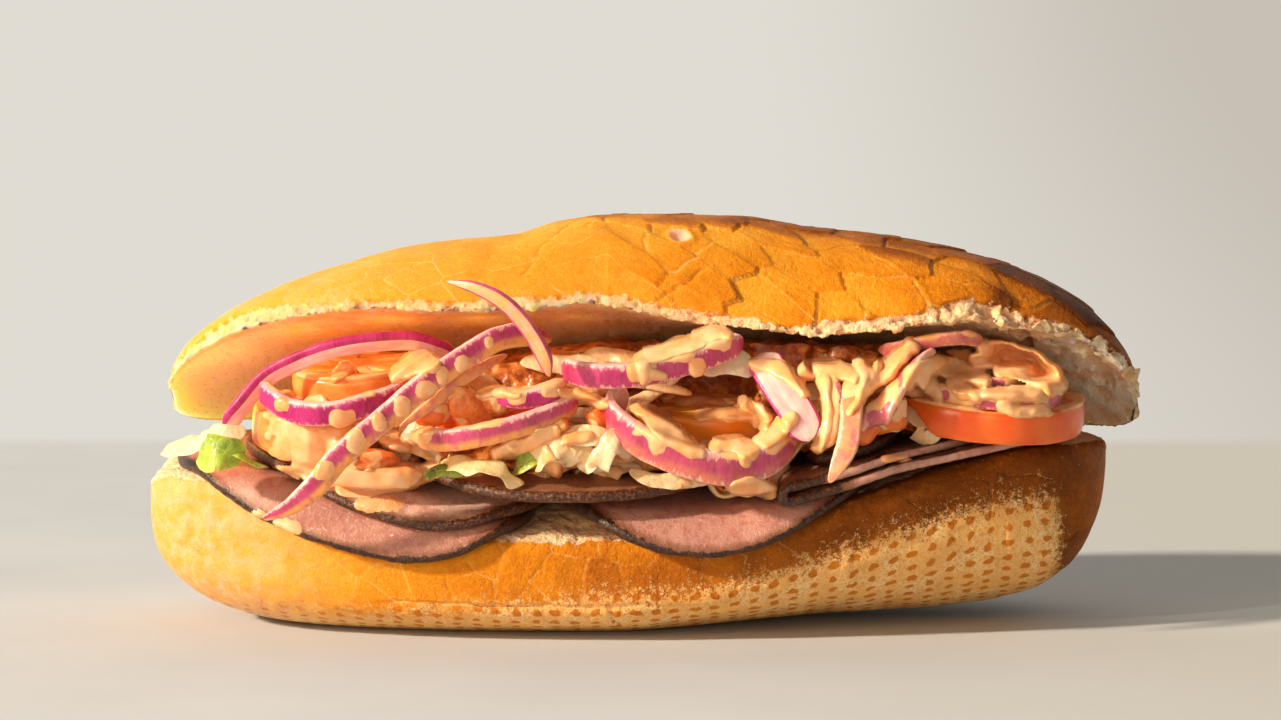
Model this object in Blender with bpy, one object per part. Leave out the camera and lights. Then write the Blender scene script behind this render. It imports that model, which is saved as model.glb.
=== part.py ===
"""Roast beef sub: a crusty roll cut along its front, opened from the back like a book, and
filled with draped slices of roast beef, tomato, shredded lettuce in sauce and red onion.

Every length is in millimetres until a mesh is made. +X runs along the roll, the mouth opens
towards -Y, +Z is up, and z = 0 is the surface that the roll rests on. The two halves of the
roll are lofts of cross-sections, the beef is laid in "drape" coordinates that follow the cut
face and bend over the front rim, and the salad heap fills what room the others leave.
"""

import math

import bmesh
import bpy
import numpy as np
from mathutils import Matrix, Vector, noise

MM = 0.001
SHIFT = (0.3, 5.54, 0.0)  # moves the working frame so that the origin is under the sub's middle

# The bottom half of the roll
BOTTOM_MID_X = -3.5
BOTTOM_HALF_LENGTH = 99.1
BOTTOM_HALF_DEPTH = 41.0
BOTTOM_RIM_SHARE = 0.93  # the rim is pinched in to this share of the half-depth
BOTTOM_BACK_RIM_Z = 37.0
BOTTOM_TIP_Z = (22.5, 36.0)  # height of the left and right tips
RIM_RADIUS = 4.2
FLAT_DROP = 2.0  # the underside is pressed flat by this much

# The top half of the roll, hinged open about the back rim
TOP_MID_X = 1.8
TOP_HALF_LENGTH = 100.2
TOP_HALF_DEPTH = 40.0
TOP_HINGE = (37.0, 37.5)  # y and z of the back rim
TOP_TILT_DEG = 19.4
TOP_HOLLOW = 6.5  # how far the filling presses the cut face up
TOP_END_DROOP = 8.0
TOP_TIP_RISE = 3.0  # of each tip over the drooping cut
# Crown height over the cut face, before the ends are rounded off, from the left tip (-1) to the
# right one (1). It steps up where the score along the loaf begins.
TOP_CROWN = (
    (-1.0, 23.5), (-0.93, 21.6), (-0.8, 21.6), (-0.65, 22.9), (-0.5, 25.2), (-0.34, 25.8),
    (-0.28, 26.4), (-0.2, 29.2), (-0.12, 30.6), (0.0, 31.2), (0.18, 31.2), (0.3, 29.5),
    (0.6, 29.4), (0.75, 30.4), (0.88, 31.4), (1.0, 31.6),
)
# The front edge of the cut is wavy, and it gapes at both ends: its height over the plain cut
TOP_LIP_LIFT = (
    (-1.0, 1.5), (-0.94, 2.2), (-0.85, 3.5), (-0.6, 3.5), (-0.5, 2.7), (-0.42, 1.8), (-0.25, 2.0),
    (-0.14, 3.6), (-0.07, 3.0), (0.0, 1.5), (0.1, -0.4), (0.2, -0.7), (0.31, -1.8), (0.43, 0.0),
    (0.57, 3.2), (0.63, 5.2), (0.72, 4.7), (0.85, 6.6), (0.92, 5.8), (1.0, 3.5),
)

BEEF_THICKNESS = 2.2
BEND_RADIUS = 4.5  # of the drape's base line round the rim
SIDE_SLANT = math.radians(12)  # beef hangs outwards by this much
BEND_REACH = 7.0  # arc length of the drape's bend is measured at this radius

GAP = 0.4  # clear distance kept between pieces that lie on each other

ROLL_STATIONS = 33  # sections along each half of the roll
BOTTOM_POINTS = (7, 4, 18)  # of a section: cut face, front rim and crust
TOP_POINTS = (8, 24)  # cut face and crust

CRUST = ((0.78, 0.42, 0.10, 1), 0.55)
BEEF = ((0.46, 0.18, 0.15, 1), 0.45)
TOMATO = ((0.80, 0.16, 0.03, 1), 0.25)
ONION = ((0.55, 0.08, 0.28, 1), 0.35)
SALAD = ((0.86, 0.55, 0.25, 1), 0.35)
LETTUCE = ((0.45, 0.62, 0.12, 1), 0.40)


# ---------------------------------------------------------------- small helpers


def end_scale(s, power):
    """1 in the middle of the roll and 0 at its tips, with a rounder end for a higher power."""
    return np.maximum(1 - np.abs(s) ** power, 0) ** (1 / power)


def smooth(x):
    """0 up to 0, 1 from 1, and a smooth step between."""
    t = np.clip(x, 0, 1)
    return t * t * (3 - 2 * t)


def along_table(s, table):
    """The value at s of a table of (s, value) rows."""
    return np.interp(s, [row[0] for row in table], [row[1] for row in table])


def rotation(axis, degrees):
    return np.array(Matrix.Rotation(math.radians(degrees), 3, axis))


def stations(count):
    """Places along a roll from -1 to 1, closer together near the tips."""
    return np.sin(np.linspace(-1, 1, count) * math.pi / 2)


# ---------------------------------------------------------------- the bottom half


def front_rim_z(x):
    """Height of the bottom half's front rim: low in the middle, where the beef weighs it down."""
    return 21.5 + 10.3 * smooth((-24 - x) / 70) + 16.5 * smooth((x - 8) / 75)


def cut_slope(x):
    """Rise of the bottom half's cut face for each millimetre towards the back."""
    return (BOTTOM_BACK_RIM_Z - front_rim_z(x)) / (2 * BOTTOM_RIM_SHARE * BOTTOM_HALF_DEPTH)


def bottom_cut_z(x, y):
    return front_rim_z(x) + cut_slope(x) * (y + BOTTOM_RIM_SHARE * BOTTOM_HALF_DEPTH)


def bottom_frame(s):
    """Sizes of the bottom half's section at s: half-depth, rim half-depth, underside height,
    centre of the front rim's rounding, its radius, and the back rim's height."""
    x = BOTTOM_MID_X + BOTTOM_HALF_LENGTH * s
    width = BOTTOM_HALF_DEPTH * end_scale(s, 2.6)
    rim = BOTTOM_RIM_SHARE * width
    tip = BOTTOM_TIP_Z[0] + (BOTTOM_TIP_Z[1] - BOTTOM_TIP_Z[0]) * (s + 1) / 2
    lifted = 3.4 * smooth((x + 10) / 60) * smooth((95 - x) / 30)
    under = tip * (1 - math.sqrt(1 - abs(s) ** (6.6 + 0.4 * s))) + lifted - FLAT_DROP * end_scale(s, 6)
    blunt = end_scale(s, 6.0)
    radius = RIM_RADIUS * min(1.0, width / 14)
    front = tip + (bottom_cut_z(x, -rim) - tip) * blunt
    back = tip + (bottom_cut_z(x, rim) - tip) * blunt
    return x, width, rim, under, (-rim + radius, front - radius), radius, back


def bottom_section(s, n_cut, n_arc, n_crust):
    """Closed outline, as (y, z) points, from the back rim over the cut face, round the front
    rim, under the roll and up the back."""
    x, width, rim, under, (cy, cz), radius, back = bottom_frame(s)
    slope = math.atan(cut_slope(x))
    points = []
    top = (cy - radius * math.sin(slope), cz + radius * math.cos(slope))
    for t in np.linspace(0, 1, n_cut, endpoint=False):
        points.append((rim + (top[0] - rim) * t, back + (top[1] - back) * t))
    for angle in np.linspace(math.pi / 2 + slope, math.pi, n_arc, endpoint=False):
        points.append((cy + radius * math.cos(angle), cz + radius * math.sin(angle)))
    for phi in np.linspace(0, math.pi, n_crust, endpoint=False):
        pinch = 1 - (1 - BOTTOM_RIM_SHARE) * math.exp(-((math.sin(phi) / 0.35) ** 2))
        y = -width * math.cos(phi) * pinch
        line = cz + (back - cz) * (1 - math.cos(phi)) / 2
        bulge = 0.5 + 0.35 * smooth((x + 10) / 50) * smooth((100 - x) / 40)
        points.append((y, max(line - (line - under) * math.sin(phi) ** bulge, 0.0)))
    return x, points


# ---------------------------------------------------------------- the top half


def tilted(s, y, z):
    """Turns a point of the top half, measured from the middle of its cut face, about the hinge."""
    angle = math.radians(TOP_TILT_DEG - 1.9 * s)
    dy = y - TOP_HALF_DEPTH
    return (
        TOP_HINGE[0] + dy * math.cos(angle) + z * math.sin(angle),
        TOP_HINGE[1] - dy * math.sin(angle) + z * math.cos(angle),
    )


def top_cut_local(s, y, width):
    """Height of the hollowed cut face over the plain cut, y from the middle."""
    share = y / max(width, 1e-6)
    lift = along_table(s, TOP_LIP_LIFT) * np.maximum(-share, 0) ** 1.5
    return TOP_HOLLOW * end_scale(s, 4) * (1 - share**2) + lift


def top_section(s, n_cut, n_crust):
    """Closed outline from the back rim over the crown to the front rim and back along the
    hollowed cut face. A raised ear of crust runs behind the crown, where the loaf was scored."""
    width = TOP_HALF_DEPTH * end_scale(s, 2.6)
    crown = along_table(s, TOP_CROWN) * end_scale(s, 2.6)
    lip = along_table(s, TOP_LIP_LIFT)
    droop = -TOP_END_DROOP * abs(s) ** 4
    ear = 1.6 * smooth((s + 0.35) / 0.2) * smooth((0.95 - s) / 0.3)
    points = []
    for theta in np.linspace(0, math.pi, n_crust, endpoint=False):
        c, sn = math.cos(theta), math.sin(theta)
        y = width * math.copysign(abs(c) ** 0.85, c)
        base = lip * max(-c, 0) ** 1.5
        z = base + (crown - base) * sn**0.85 + ear * math.exp(-(((theta - 1.45) / 0.14) ** 2))
        points.append(tilted(s, y, z + droop))
    for t in np.linspace(0, 1, n_cut, endpoint=False):
        y = -width + 2 * width * t
        points.append(tilted(s, y, top_cut_local(s, y, width) + droop))
    return TOP_MID_X + TOP_HALF_LENGTH * s, points


def top_cut_z(x, y):
    """Height of the top half's cut face over a place in the working frame."""
    s = (x - TOP_MID_X) / TOP_HALF_LENGTH
    width = TOP_HALF_DEPTH * float(end_scale(s, 2.6))
    local = np.linspace(-width, width, 41)
    droop = -TOP_END_DROOP * abs(s) ** 4
    ys, zs = tilted(s, local, top_cut_local(s, local, width) + droop)
    return float(np.interp(y, ys, zs))


# ---------------------------------------------------------------- drape coordinates


def drape(x, t, d):
    """The point that lies d over the bottom half's cut face, t past the start of the bend
    over the front rim. Negative t is inside the mouth, and the beef hangs down past the bend."""
    s = (x - BOTTOM_MID_X) / BOTTOM_HALF_LENGTH
    s = float(np.clip(s, -0.995, 0.995))
    _, _, _, _, (cy, cz), _, _ = bottom_frame(s)
    slope = math.atan(cut_slope(x))
    start, stop = math.pi / 2 + slope, math.pi - SIDE_SLANT
    bend = BEND_REACH * (stop - start)
    angle = start + (stop - start) * min(max(t / bend, 0.0), 1.0)
    radius = BEND_RADIUS + d
    y = cy + radius * math.cos(angle)
    z = cz + radius * math.sin(angle)
    if t < 0:
        y -= t * math.cos(slope)
        z -= t * math.sin(slope)
    elif t > bend:
        y -= (t - bend) * math.sin(SIDE_SLANT)
        z -= (t - bend) * math.cos(SIDE_SLANT)
    return np.array([x, y, z])


def flat_drape(x, t, d):
    """As drape, but a stiff slice runs straight on past the rim."""
    point = drape(x, min(t, 0.0), d)
    slope = math.atan(cut_slope(x))
    forward = max(t, 0.0)
    return point + np.array([0, -forward * math.cos(slope), -forward * math.sin(slope)])


# ---------------------------------------------------------------- where the pieces lie

# Each slice of beef is a disc in drape coordinates: the middle (x, t), the half-length and
# half-width, the height over the cut face at its left and right ends, and how it lies.
BEEF_SLICES = {
    "beef_1": dict(mid=(-59.5, -14.5), half=(37.5, 29.0), over=(0.4, 0.4), lay=drape),
    "beef_2": dict(mid=(-50.5, -17.5), half=(31.5, 24.5), over=(3.0, 3.2), lay=drape),
    "beef_3": dict(mid=(15.5, -13.0), half=(33.0, 22.5), over=(4.2, 0.5), lay=drape),
    "beef_4": dict(mid=(-17.0, -10.0), half=(29.0, 18.0), over=(9.0, 9.0), lay=flat_drape),
    "beef_6": dict(
        mid=(41.0, -8.0), half=(9.5, 12.0), over=(9.9, 7.6), lay=flat_drape, rows=9, cols=5,
    ),
}
# The folded slice lies double: its lower leaf runs left to the fold and its shorter upper leaf
# runs back. "under" is the height of its underside from the fold (0) to the right end (1).
FOLDED_BEEF = dict(
    fold_x=28.6, ends=(86.0, 67.0), mid_t=-4.0, half_t=12.0, opening=(1.0, 0.3),
    under=((0.0, 4.4), (0.35, 3.0), (0.55, 1.4), (0.7, 0.6), (1.0, 0.4)),
)

# Tomato slices: centre, radius, thickness, tilt towards the front and roll to the right
RIM_BEVEL = 1.0
TOMATOES = {
    "tomato_1": ((68.3, -16.0, 45.4), 21.1, 6.4, 7.0, 4.5),
    "tomato_2": ((12.2, -15.5, 44.4), 20.5, 6.0, 8.0, 1.0),
    "tomato_3": ((-28.3, -18.0, 47.0), 18.5, 5.5, 8.0, -2.0),
    "tomato_4": ((-65.0, -20.5, 41.6), 14.5, 7.4, 9.0, 5.0),
    "tomato_5": ((-58.8, -16.5, 51.4), 13.0, 4.5, 9.0, -3.0),
}

SHORTEST_STRIP = 7  # sections along a strip

# Onion: each strip follows points (x, y, z). "tall" is how thick the onion was sliced, "deep"
# the depth of one of its layers, and "up" points along the onion's core.
ONIONS = {
    "onion_01": dict(
        points=(
            (-84.5, -27, 41.6), (-81.4, -28, 45.8), (-76.2, -28, 51.8), (-69.7, -29, 55.4),
            (-63.1, -30, 57.9), (-55.8, -30, 59.3), (-47.2, -28, 59.6), (-41.7, -26, 58.0),
            (-38.2, -24, 56.2),
        ),
        tall=3.4, deep=1.8, up=(0.0, -0.35, 1.0),
    ),
    "onion_02": dict(
        points=(
            (-75.2, -31.5, 50.8), (-75.6, -34.0, 49.8), (-73.6, -36.6, 48.4), (-70.0, -39, 46.8),
            (-64.9, -41, 46.2), (-60.0, -41, 46.6), (-55.1, -40, 47.9), (-50.4, -37.5, 49.1),
            (-46.7, -33, 50.7),
        ),
        tall=4.2, deep=2.2, up=(0.0, -0.3, 1.0),
    ),
    "onion_03": dict(
        points=(
            (-75.0, -44, 25.8), (-69.4, -47, 28.6), (-64.4, -49, 32.8), (-60.1, -49, 37.9),
            (-55.5, -48.5, 42.1), (-49.3, -47.5, 47.3), (-43.9, -46.5, 51.9), (-38.9, -45, 55.3),
            (-34.3, -43.5, 58.3), (-28.5, -41, 61.2), (-22.7, -37.5, 61.6), (-18.5, -33.5, 60.2),
        ),
        tall=4.2, deep=2.0, up=(-0.6, -0.25, 0.75),
    ),
    "onion_04": dict(
        points=(
            (-38.5, -46, 72.7), (-32.8, -48, 71.5), (-27.6, -49, 68.9), (-23.9, -49, 65.2),
            (-21.2, -48.5, 61.2), (-19.4, -48.5, 57.4), (-18.6, -48, 54.2),
        ),
        tall=2.8, deep=1.8, up=(0.75, -0.2, 0.6),
    ),
    "onion_05": dict(
        points=(
            (-31.4, -39, 50.8), (-27.5, -42.0, 49.7), (-22.5, -43.2, 49.6), (-17.9, -41.5, 50.8),
            (-16.2, -38, 51.8),
        ),
        tall=3.4, deep=2.8, up=(0.0, -0.25, 1.0),
    ),
    "onion_06": dict(
        points=(
            (-45.7, -41, 41.9), (-40.2, -43, 41.3), (-34.9, -44.5, 41.9), (-27.0, -45.3, 43.7),
            (-20.6, -44, 45.6), (-15.6, -41, 47.4), (-13.4, -37, 49.2),
        ),
        tall=4.0, deep=2.2, up=(0.0, -0.3, 1.0),
    ),
    "onion_07": dict(
        points=(
            (-16.5, -37.5, 55.2), (-13.2, -42.0, 54.4), (-7.9, -45, 54.1), (-1.0, -45.5, 54.5),
            (5.2, -44.5, 55.8), (11.3, -43, 57.5), (16.2, -41.0, 59.3), (19.4, -38, 60.3),
        ),
        tall=4.4, deep=2.4, up=(0.0, -0.35, 1.0),
    ),
    "onion_08": dict(
        points=(
            (-3.4, -34, 48.7), (-6.4, -38, 47.7), (-6.5, -42, 45.7), (-3.0, -45, 42.7),
            (1.9, -47, 40.0), (8.7, -48, 37.6), (15.5, -48.3, 36.2), (21.4, -47, 36.9),
            (25.6, -45, 38.6), (28.4, -41, 41.0), (28.2, -36, 43.0),
        ),
        tall=4.4, deep=2.4, up=(0.0, -0.5, 1.0),
    ),
    "onion_09": dict(
        points=(
            (22.6, -35.5, 57.6), (24.5, -39.0, 54.8), (27.2, -42.6, 50.7), (30.2, -44.6, 46.0),
            (32.0, -46.0, 41.3),
        ),
        tall=6.2, deep=1.8, up=(-0.9, -0.1, -0.4),
    ),
    "onion_10": dict(
        points=(
            (36.0, -39, 53.6), (37.0, -43.0, 50.2), (36.6, -44.5, 45.4), (35.6, -44.6, 40.2),
        ),
        tall=2.8, deep=2.2, up=(0.9, -0.2, 0.0),
    ),
    "onion_11": dict(
        points=(
            (42.8, -38.5, 55.0), (40.6, -44, 50.1), (40.0, -47, 45.3), (39.2, -48.4, 40.7),
            (37.0, -49.0, 36.0), (35.8, -49, 33.6),
        ),
        tall=3.8, deep=1.8, up=(0.9, -0.2, 0.1),
    ),
    "onion_12": dict(
        points=(
            (57.2, -31, 57.4), (53.2, -37, 55.8), (50.2, -41, 52.4), (47.2, -43, 48.4),
            (44.8, -42.6, 45.2), (43.2, -40, 42.9),
        ),
        tall=4.6, deep=1.8, up=(0.75, -0.2, 0.6),
    ),
    "onion_13": dict(
        points=(
            (58.5, -17.5, 51.1), (55.3, -22.5, 50.9), (57.2, -29.5, 49.9), (62.6, -34.0, 48.9),
            (69.4, -35.3, 48.2), (76.2, -33.6, 47.9), (81.4, -28.6, 48.1), (82.6, -22, 48.8),
            (79.5, -16.5, 49.7),
        ),
        tall=3.0, deep=2.6, up=(0.1, -0.12, 1.0),
    ),
    "onion_14": dict(
        points=(
            (61.5, -20, 51.8), (63.0, -26.0, 51.2), (68.2, -29.4, 50.7), (73.6, -27.5, 50.5),
            (75.2, -21.5, 51.0),
        ),
        tall=3.0, deep=2.2, up=(0.1, -0.12, 1.0),
    ),
    "onion_15": dict(
        points=(
            (46.6, -28, 57.6), (50.5, -31.5, 58.5), (56.7, -32.4, 59.9), (63.2, -31, 60.4),
            (68.0, -26.5, 59.2),
        ),
        tall=2.4, deep=1.8, up=(0.0, -0.2, 1.0),
    ),
    "onion_16": dict(
        points=(
            (-48.1, -43, 43.9), (-42.2, -43, 48.2), (-36.9, -42.2, 52.4), (-31.3, -40.2, 56.0),
            (-27.2, -37, 57.6),
        ),
        tall=2.2, deep=1.6, up=(-0.6, -0.25, 0.75),
    ),
    "onion_17": dict(
        points=(
            (-63.6, -37.5, 34.2), (-58.6, -39.8, 33.9), (-51.6, -40.2, 33.8), (-47.0, -39.2, 33.8),
            (-44.2, -38, 33.9),
        ),
        tall=3.0, deep=2.2, up=(0.0, -0.2, 1.0),
    ),
}

# Leaves of lettuce that stick out on the left: centre, length and width, and turns about X, Y, Z
LEAVES = {
    "lettuce_1": ((-85.2, -36.0, 37.4), (10.5, 7.5), (52.0, 10.0, 8.0)),
    "lettuce_2": ((-90.0, -16.0, 39.4), (17.0, 11.0), (8.0, -10.0, 5.0)),
}

# The heap of salad: how far it stays over the cut face along the roll, to clear the beef there
SALAD_SPAN = (-80.0, 87.0)
SALAD_LIFT = (
    (-95, 3.2), (-86, 3.4), (-82, 6.2), (-49, 6.2), (-46, 11.9), (12.5, 11.9), (15, 7.2),
    (26, 7.2), (28, 10.2), (31, 12.7), (53, 10.6), (56, 7.2), (69, 5.6), (72, 3.4), (95, 3.4),
)
SALAD_TOP = (
    (-90, 44.0), (-72, 47.0), (-50, 51.0), (-32, 54.5), (-12, 58.0), (20, 59.5), (50, 58.5),
    (70, 56.0), (90, 51.0),
)  # no higher than this, also where the top half leaves more room
SALAD_DEPTH = (-37.0, 10.0)  # front and back of the heap in the middle of the roll
SALAD_LEAN = 9.0  # its front leans back by this much
SALAD_BUMPS = (2.4, 1.5)  # depth of the bumps on its front and its top
SALAD_STATIONS = 19
BUMP_PITCH = 9.0

# Shreds of lettuce and thick drizzles of sauce that stick out of the heap, as strips
SALAD_BITS = {
    "pale_leaf": dict(
        points=((-40.0, -39, 35.0), (-34.4, -41, 36.4), (-28.5, -41, 36.2), (-23.9, -37, 36.0)),
        tall=4.0, deep=1.4, up=(0.0, -0.5, 1.0),
    ),
    "curly_shred_1": dict(
        points=(
            (-22.8, -35, 36.8), (-19.7, -40, 39.7), (-14.8, -41.5, 41.3), (-11.2, -40.5, 38.9),
            (-12.3, -37, 36.8),
        ),
        tall=3.6, deep=1.6, up=(0.0, -0.6, 1.0),
    ),
    "curly_shred_2": dict(
        points=((-10.9, -34, 39.6), (-6.5, -39, 40.0), (-3.0, -40, 37.9), (0.5, -36, 36.9)),
        tall=3.4, deep=1.6, up=(0.0, -0.6, 1.0),
    ),
    "cream_shred": dict(
        points=((-36.1, -34, 37.7), (-29.5, -39.5, 40.1), (-22.7, -39, 41.2), (-17.0, -34, 41.0)),
        tall=4.0, deep=1.6, up=(0.0, -0.5, 1.0),
    ),
    "pale_strip": dict(
        points=((8.9, -32, 43.7), (14.7, -38, 47.5), (21.6, -38, 48.6), (27.0, -32, 48.0)),
        tall=3.0, deep=1.6, up=(0.0, -0.5, 1.0),
    ),
    "golden_strip": dict(
        points=((0.0, -31, 49.2), (8.8, -37, 51.3), (17.7, -37, 52.9), (25.7, -31, 54.1)),
        tall=3.2, deep=1.6, up=(0.0, -0.5, 1.0),
    ),
    "top_strip": dict(
        points=((-15.9, -27, 57.4), (-8.9, -31, 58.6), (0.9, -31, 58.6), (9.9, -27, 58.2)),
        tall=3.0, deep=1.6, up=(0.0, -0.3, 1.0),
    ),
    "right_strip": dict(
        points=((42.9, -31, 47.4), (46.3, -38, 45.2), (51.4, -34, 43.5)),
        tall=3.2, deep=1.8, up=(0.4, -0.4, 1.0),
    ),
    "left_drizzle": dict(
        points=((-48.0, -30, 41.8), (-56.3, -38, 41.0), (-65.1, -38.5, 40.9), (-71.2, -36, 42.2)),
        tall=8.0, deep=2.6, up=(0.0, -0.2, 1.0),
    ),
    "middle_drizzle": dict(
        points=((-2.0, -33, 45.9), (4.0, -39.0, 43.6), (8.8, -37, 41.8)),
        tall=4.4, deep=3.0, up=(0.4, -0.4, 1.0),
    ),
    "low_drizzle": dict(
        points=((21.2, -32, 36.8), (20.7, -37.5, 34.4), (21.2, -39.5, 33.0)),
        tall=6.0, deep=2.6, up=(1.0, 0.0, 0.0),
    ),
}


# ---------------------------------------------------------------- making objects


def clear_scene():
    for obj in list(bpy.data.objects):
        bpy.data.objects.remove(obj)


def material(name, look):
    made = bpy.data.materials.get(name) or bpy.data.materials.new(name)
    made.use_nodes = True
    shader = made.node_tree.nodes["Principled BSDF"]
    shader.inputs["Base Color"].default_value = look[0]
    shader.inputs["Roughness"].default_value = look[1]
    shader.inputs["Metallic"].default_value = 0.0
    return made


def collection(name):
    made = bpy.data.collections.new(name)
    bpy.context.scene.collection.children.link(made)
    return made


def add_mesh(name, points, faces, look, into):
    """A named object from points in millimetres of the working frame."""
    mesh = bpy.data.meshes.new(name)
    moved = (np.asarray(points, float) + SHIFT) * MM
    mesh.from_pydata(moved.tolist(), [], faces)
    mesh.validate()
    shell = bmesh.new()
    shell.from_mesh(mesh)
    bmesh.ops.recalc_face_normals(shell, faces=shell.faces)
    shell.to_mesh(mesh)
    shell.free()
    mesh.shade_smooth()
    mesh.set_sharp_from_angle(angle=math.radians(40))
    obj = bpy.data.objects.new(name, mesh)
    obj.data.materials.append(material(name.split("_")[0] + "_look", look))
    into.objects.link(obj)
    return obj


def loft(sections, tips=None):
    """Points and faces of a body through closed sections of equal length. Each end closes on
    a tip point, or on the middle of its section."""
    points = [p for section in sections for p in section]
    n, faces = len(sections[0]), []
    for i in range(len(sections) - 1):
        for j in range(n):
            k = (j + 1) % n
            faces.append((i * n + j, i * n + k, (i + 1) * n + k, (i + 1) * n + j))
    for end, base in ((0, 0), (1, (len(sections) - 1) * n)):
        section = sections[-end]
        tip = tips[end] if tips else np.mean(np.asarray(section), axis=0)
        points.append(tip)
        for j in range(n):
            faces.append((base + j, base + (j + 1) % n, len(points) - 1))
    return points, faces


def make_roll_bottom(into):
    sections = []
    for s in stations(ROLL_STATIONS)[1:-1]:
        x, outline = bottom_section(s, *BOTTOM_POINTS)
        sections.append([(x, y, z) for y, z in outline])
    ends = []
    for side, tip_z in zip((-1, 1), BOTTOM_TIP_Z):
        ends.append((BOTTOM_MID_X + BOTTOM_HALF_LENGTH * side, 0, tip_z))
    return add_mesh("roll_bottom", *loft(sections, ends), CRUST, into)


def make_roll_top(into):
    sections = []
    for s in stations(ROLL_STATIONS)[1:-1]:
        x, outline = top_section(s, *TOP_POINTS)
        sections.append([(x, y, z) for y, z in outline])
    ends = []
    for side in (-1, 1):
        y, z = tilted(side, 0, TOP_TIP_RISE - TOP_END_DROOP)
        ends.append((TOP_MID_X + TOP_HALF_LENGTH * side, y, z))
    return add_mesh("roll_top", *loft(sections, ends), CRUST, into)


def slab(lower, upper):
    """Points and faces of a closed slab between two grids of equal size, whose two sides are
    split into triangles alike."""
    rows, cols = len(lower), len(lower[0])
    points = [p for row in lower for p in row] + [p for row in upper for p in row]
    above = rows * cols
    faces = []
    for i in range(rows - 1):
        for j in range(cols - 1):
            a, b = i * cols + j, i * cols + j + 1
            c, d = (i + 1) * cols + j + 1, (i + 1) * cols + j
            for one, two, three in ((a, b, c), (a, c, d)):
                faces += [(one, two, three), (above + three, above + two, above + one)]
    edge = [(0, j) for j in range(cols)]
    edge += [(i, cols - 1) for i in range(1, rows)]
    edge += [(rows - 1, j) for j in range(cols - 2, -1, -1)]
    edge += [(i, 0) for i in range(rows - 2, 0, -1)]
    ring = [i * cols + j for i, j in edge]
    for k, a in enumerate(ring):
        b = ring[(k + 1) % len(ring)]
        faces.append((b, a, above + a, above + b))
    return points, faces


def chord_across(front, back, count):
    """Places in t from the front edge of a slice to its back, closer together at the bend."""
    return front - (front - back) * np.linspace(0, 1, count) ** 1.7


def make_beef_slice(name, mid, half, over, lay, into, rows=15, cols=8, grow=0.0):
    """One slice: rows run along x, and each row spans the disc's chord in t."""
    lower, upper = [], []
    for u in np.sin(np.linspace(-1, 1, rows) * math.pi / 2 * 0.93):
        x = mid[0] + (half[0] + grow) * u
        reach = half[1] * (1 - abs(u) ** 2.3) ** 0.45 + grow
        d = over[0] + (over[1] - over[0]) * (u + 1) / 2
        chord = chord_across(mid[1] + reach, mid[1] - reach, cols)
        lower.append([lay(x, t, d - grow) for t in chord])
        upper.append([lay(x, t, d + BEEF_THICKNESS + grow) for t in chord])
    return add_mesh(name, *slab(lower, upper), BEEF, into)


def make_folded_slice(name, fold_x, ends, mid_t, half_t, opening, under, into, cols=5):
    """A slice folded in two about its left end: the row goes along the lower leaf, round the
    fold and back along the upper leaf."""
    bend = np.linspace(-math.pi / 2, math.pi / 2, 7)[1:-1]
    path = [(ends[0], share, -1.0, 0.0) for share in np.linspace(1, 0, 9)]
    path += [(fold_x, 0.0, math.sin(a), math.cos(a)) for a in bend]
    path += [(ends[1], share, 1.0, 0.0) for share in np.linspace(0, 1, 7)]
    inner, outer = [], []
    for end, share, side, out in path:
        x = fold_x + (end - fold_x) * share
        along = (x - fold_x) / (ends[0] - fold_x)
        ply = BEEF_THICKNESS * (0.9 - 0.25 * along)
        low = along_table(along, under)
        gap = opening[0] + (opening[1] - opening[0]) * min(along * 2, 1.0)
        reach = half_t * (1 - 0.8 * share**3)
        chord = np.linspace(mid_t + reach, mid_t - reach, cols)
        middle = low + ply + gap / 2
        for grid, half in ((outer, gap / 2 + ply), (inner, gap / 2)):
            grid.append([flat_drape(x - out * half, t, middle + side * half) for t in chord])
    return add_mesh(name, *slab(inner, outer), BEEF, into)


def make_tomato(name, centre, radius, thickness, tilt, roll, into, grow=0.0):
    """A disc with rounded rims, tilted to lie on what is under it."""
    shape = bmesh.new()
    reach = (radius + grow) * MM
    depth = (thickness + 2 * grow) * MM
    bmesh.ops.create_cone(
        shape, cap_ends=True, segments=32, radius1=reach, radius2=reach, depth=depth
    )
    rims = [e for e in shape.edges if len({round(v.co.z, 7) for v in e.verts}) == 1]
    bmesh.ops.bevel(shape, geom=rims, offset=RIM_BEVEL * MM, segments=1, profile=0.5, affect="EDGES")
    turn = Matrix.Rotation(math.radians(roll), 4, "Y")
    turn = turn @ Matrix.Rotation(math.radians(tilt), 4, "X")
    place = Matrix.Translation((Vector(centre) + Vector(SHIFT)) * MM)
    mesh = bpy.data.meshes.new(name)
    shape.transform(place @ turn)
    shape.to_mesh(mesh)
    shape.free()
    obj = bpy.data.objects.new(name, mesh)
    obj.data.materials.append(material("tomato_look", TOMATO))
    into.objects.link(obj)
    return obj


def curve_points(controls, count):
    """Points spaced evenly along a smooth Catmull-Rom curve through the control points."""
    p = np.asarray(controls, float)
    p = np.vstack([2 * p[0] - p[1], p, 2 * p[-1] - p[-2]])
    fine = []
    for i in range(1, len(p) - 2):
        for t in np.linspace(0, 1, 24, endpoint=False):
            fine.append(
                0.5 * (2 * p[i] + (p[i + 1] - p[i - 1]) * t
                       + (2 * p[i - 1] - 5 * p[i] + 4 * p[i + 1] - p[i + 2]) * t**2
                       + (3 * p[i] - p[i - 1] - 3 * p[i + 1] + p[i + 2]) * t**3)
            )
    fine = np.array(fine + [p[-2]])
    run = np.concatenate([[0], np.cumsum(np.linalg.norm(np.diff(fine, axis=0), axis=1))])
    even = np.linspace(0, run[-1], count)
    return np.stack([np.interp(even, run, fine[:, k]) for k in range(3)], axis=1)


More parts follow.
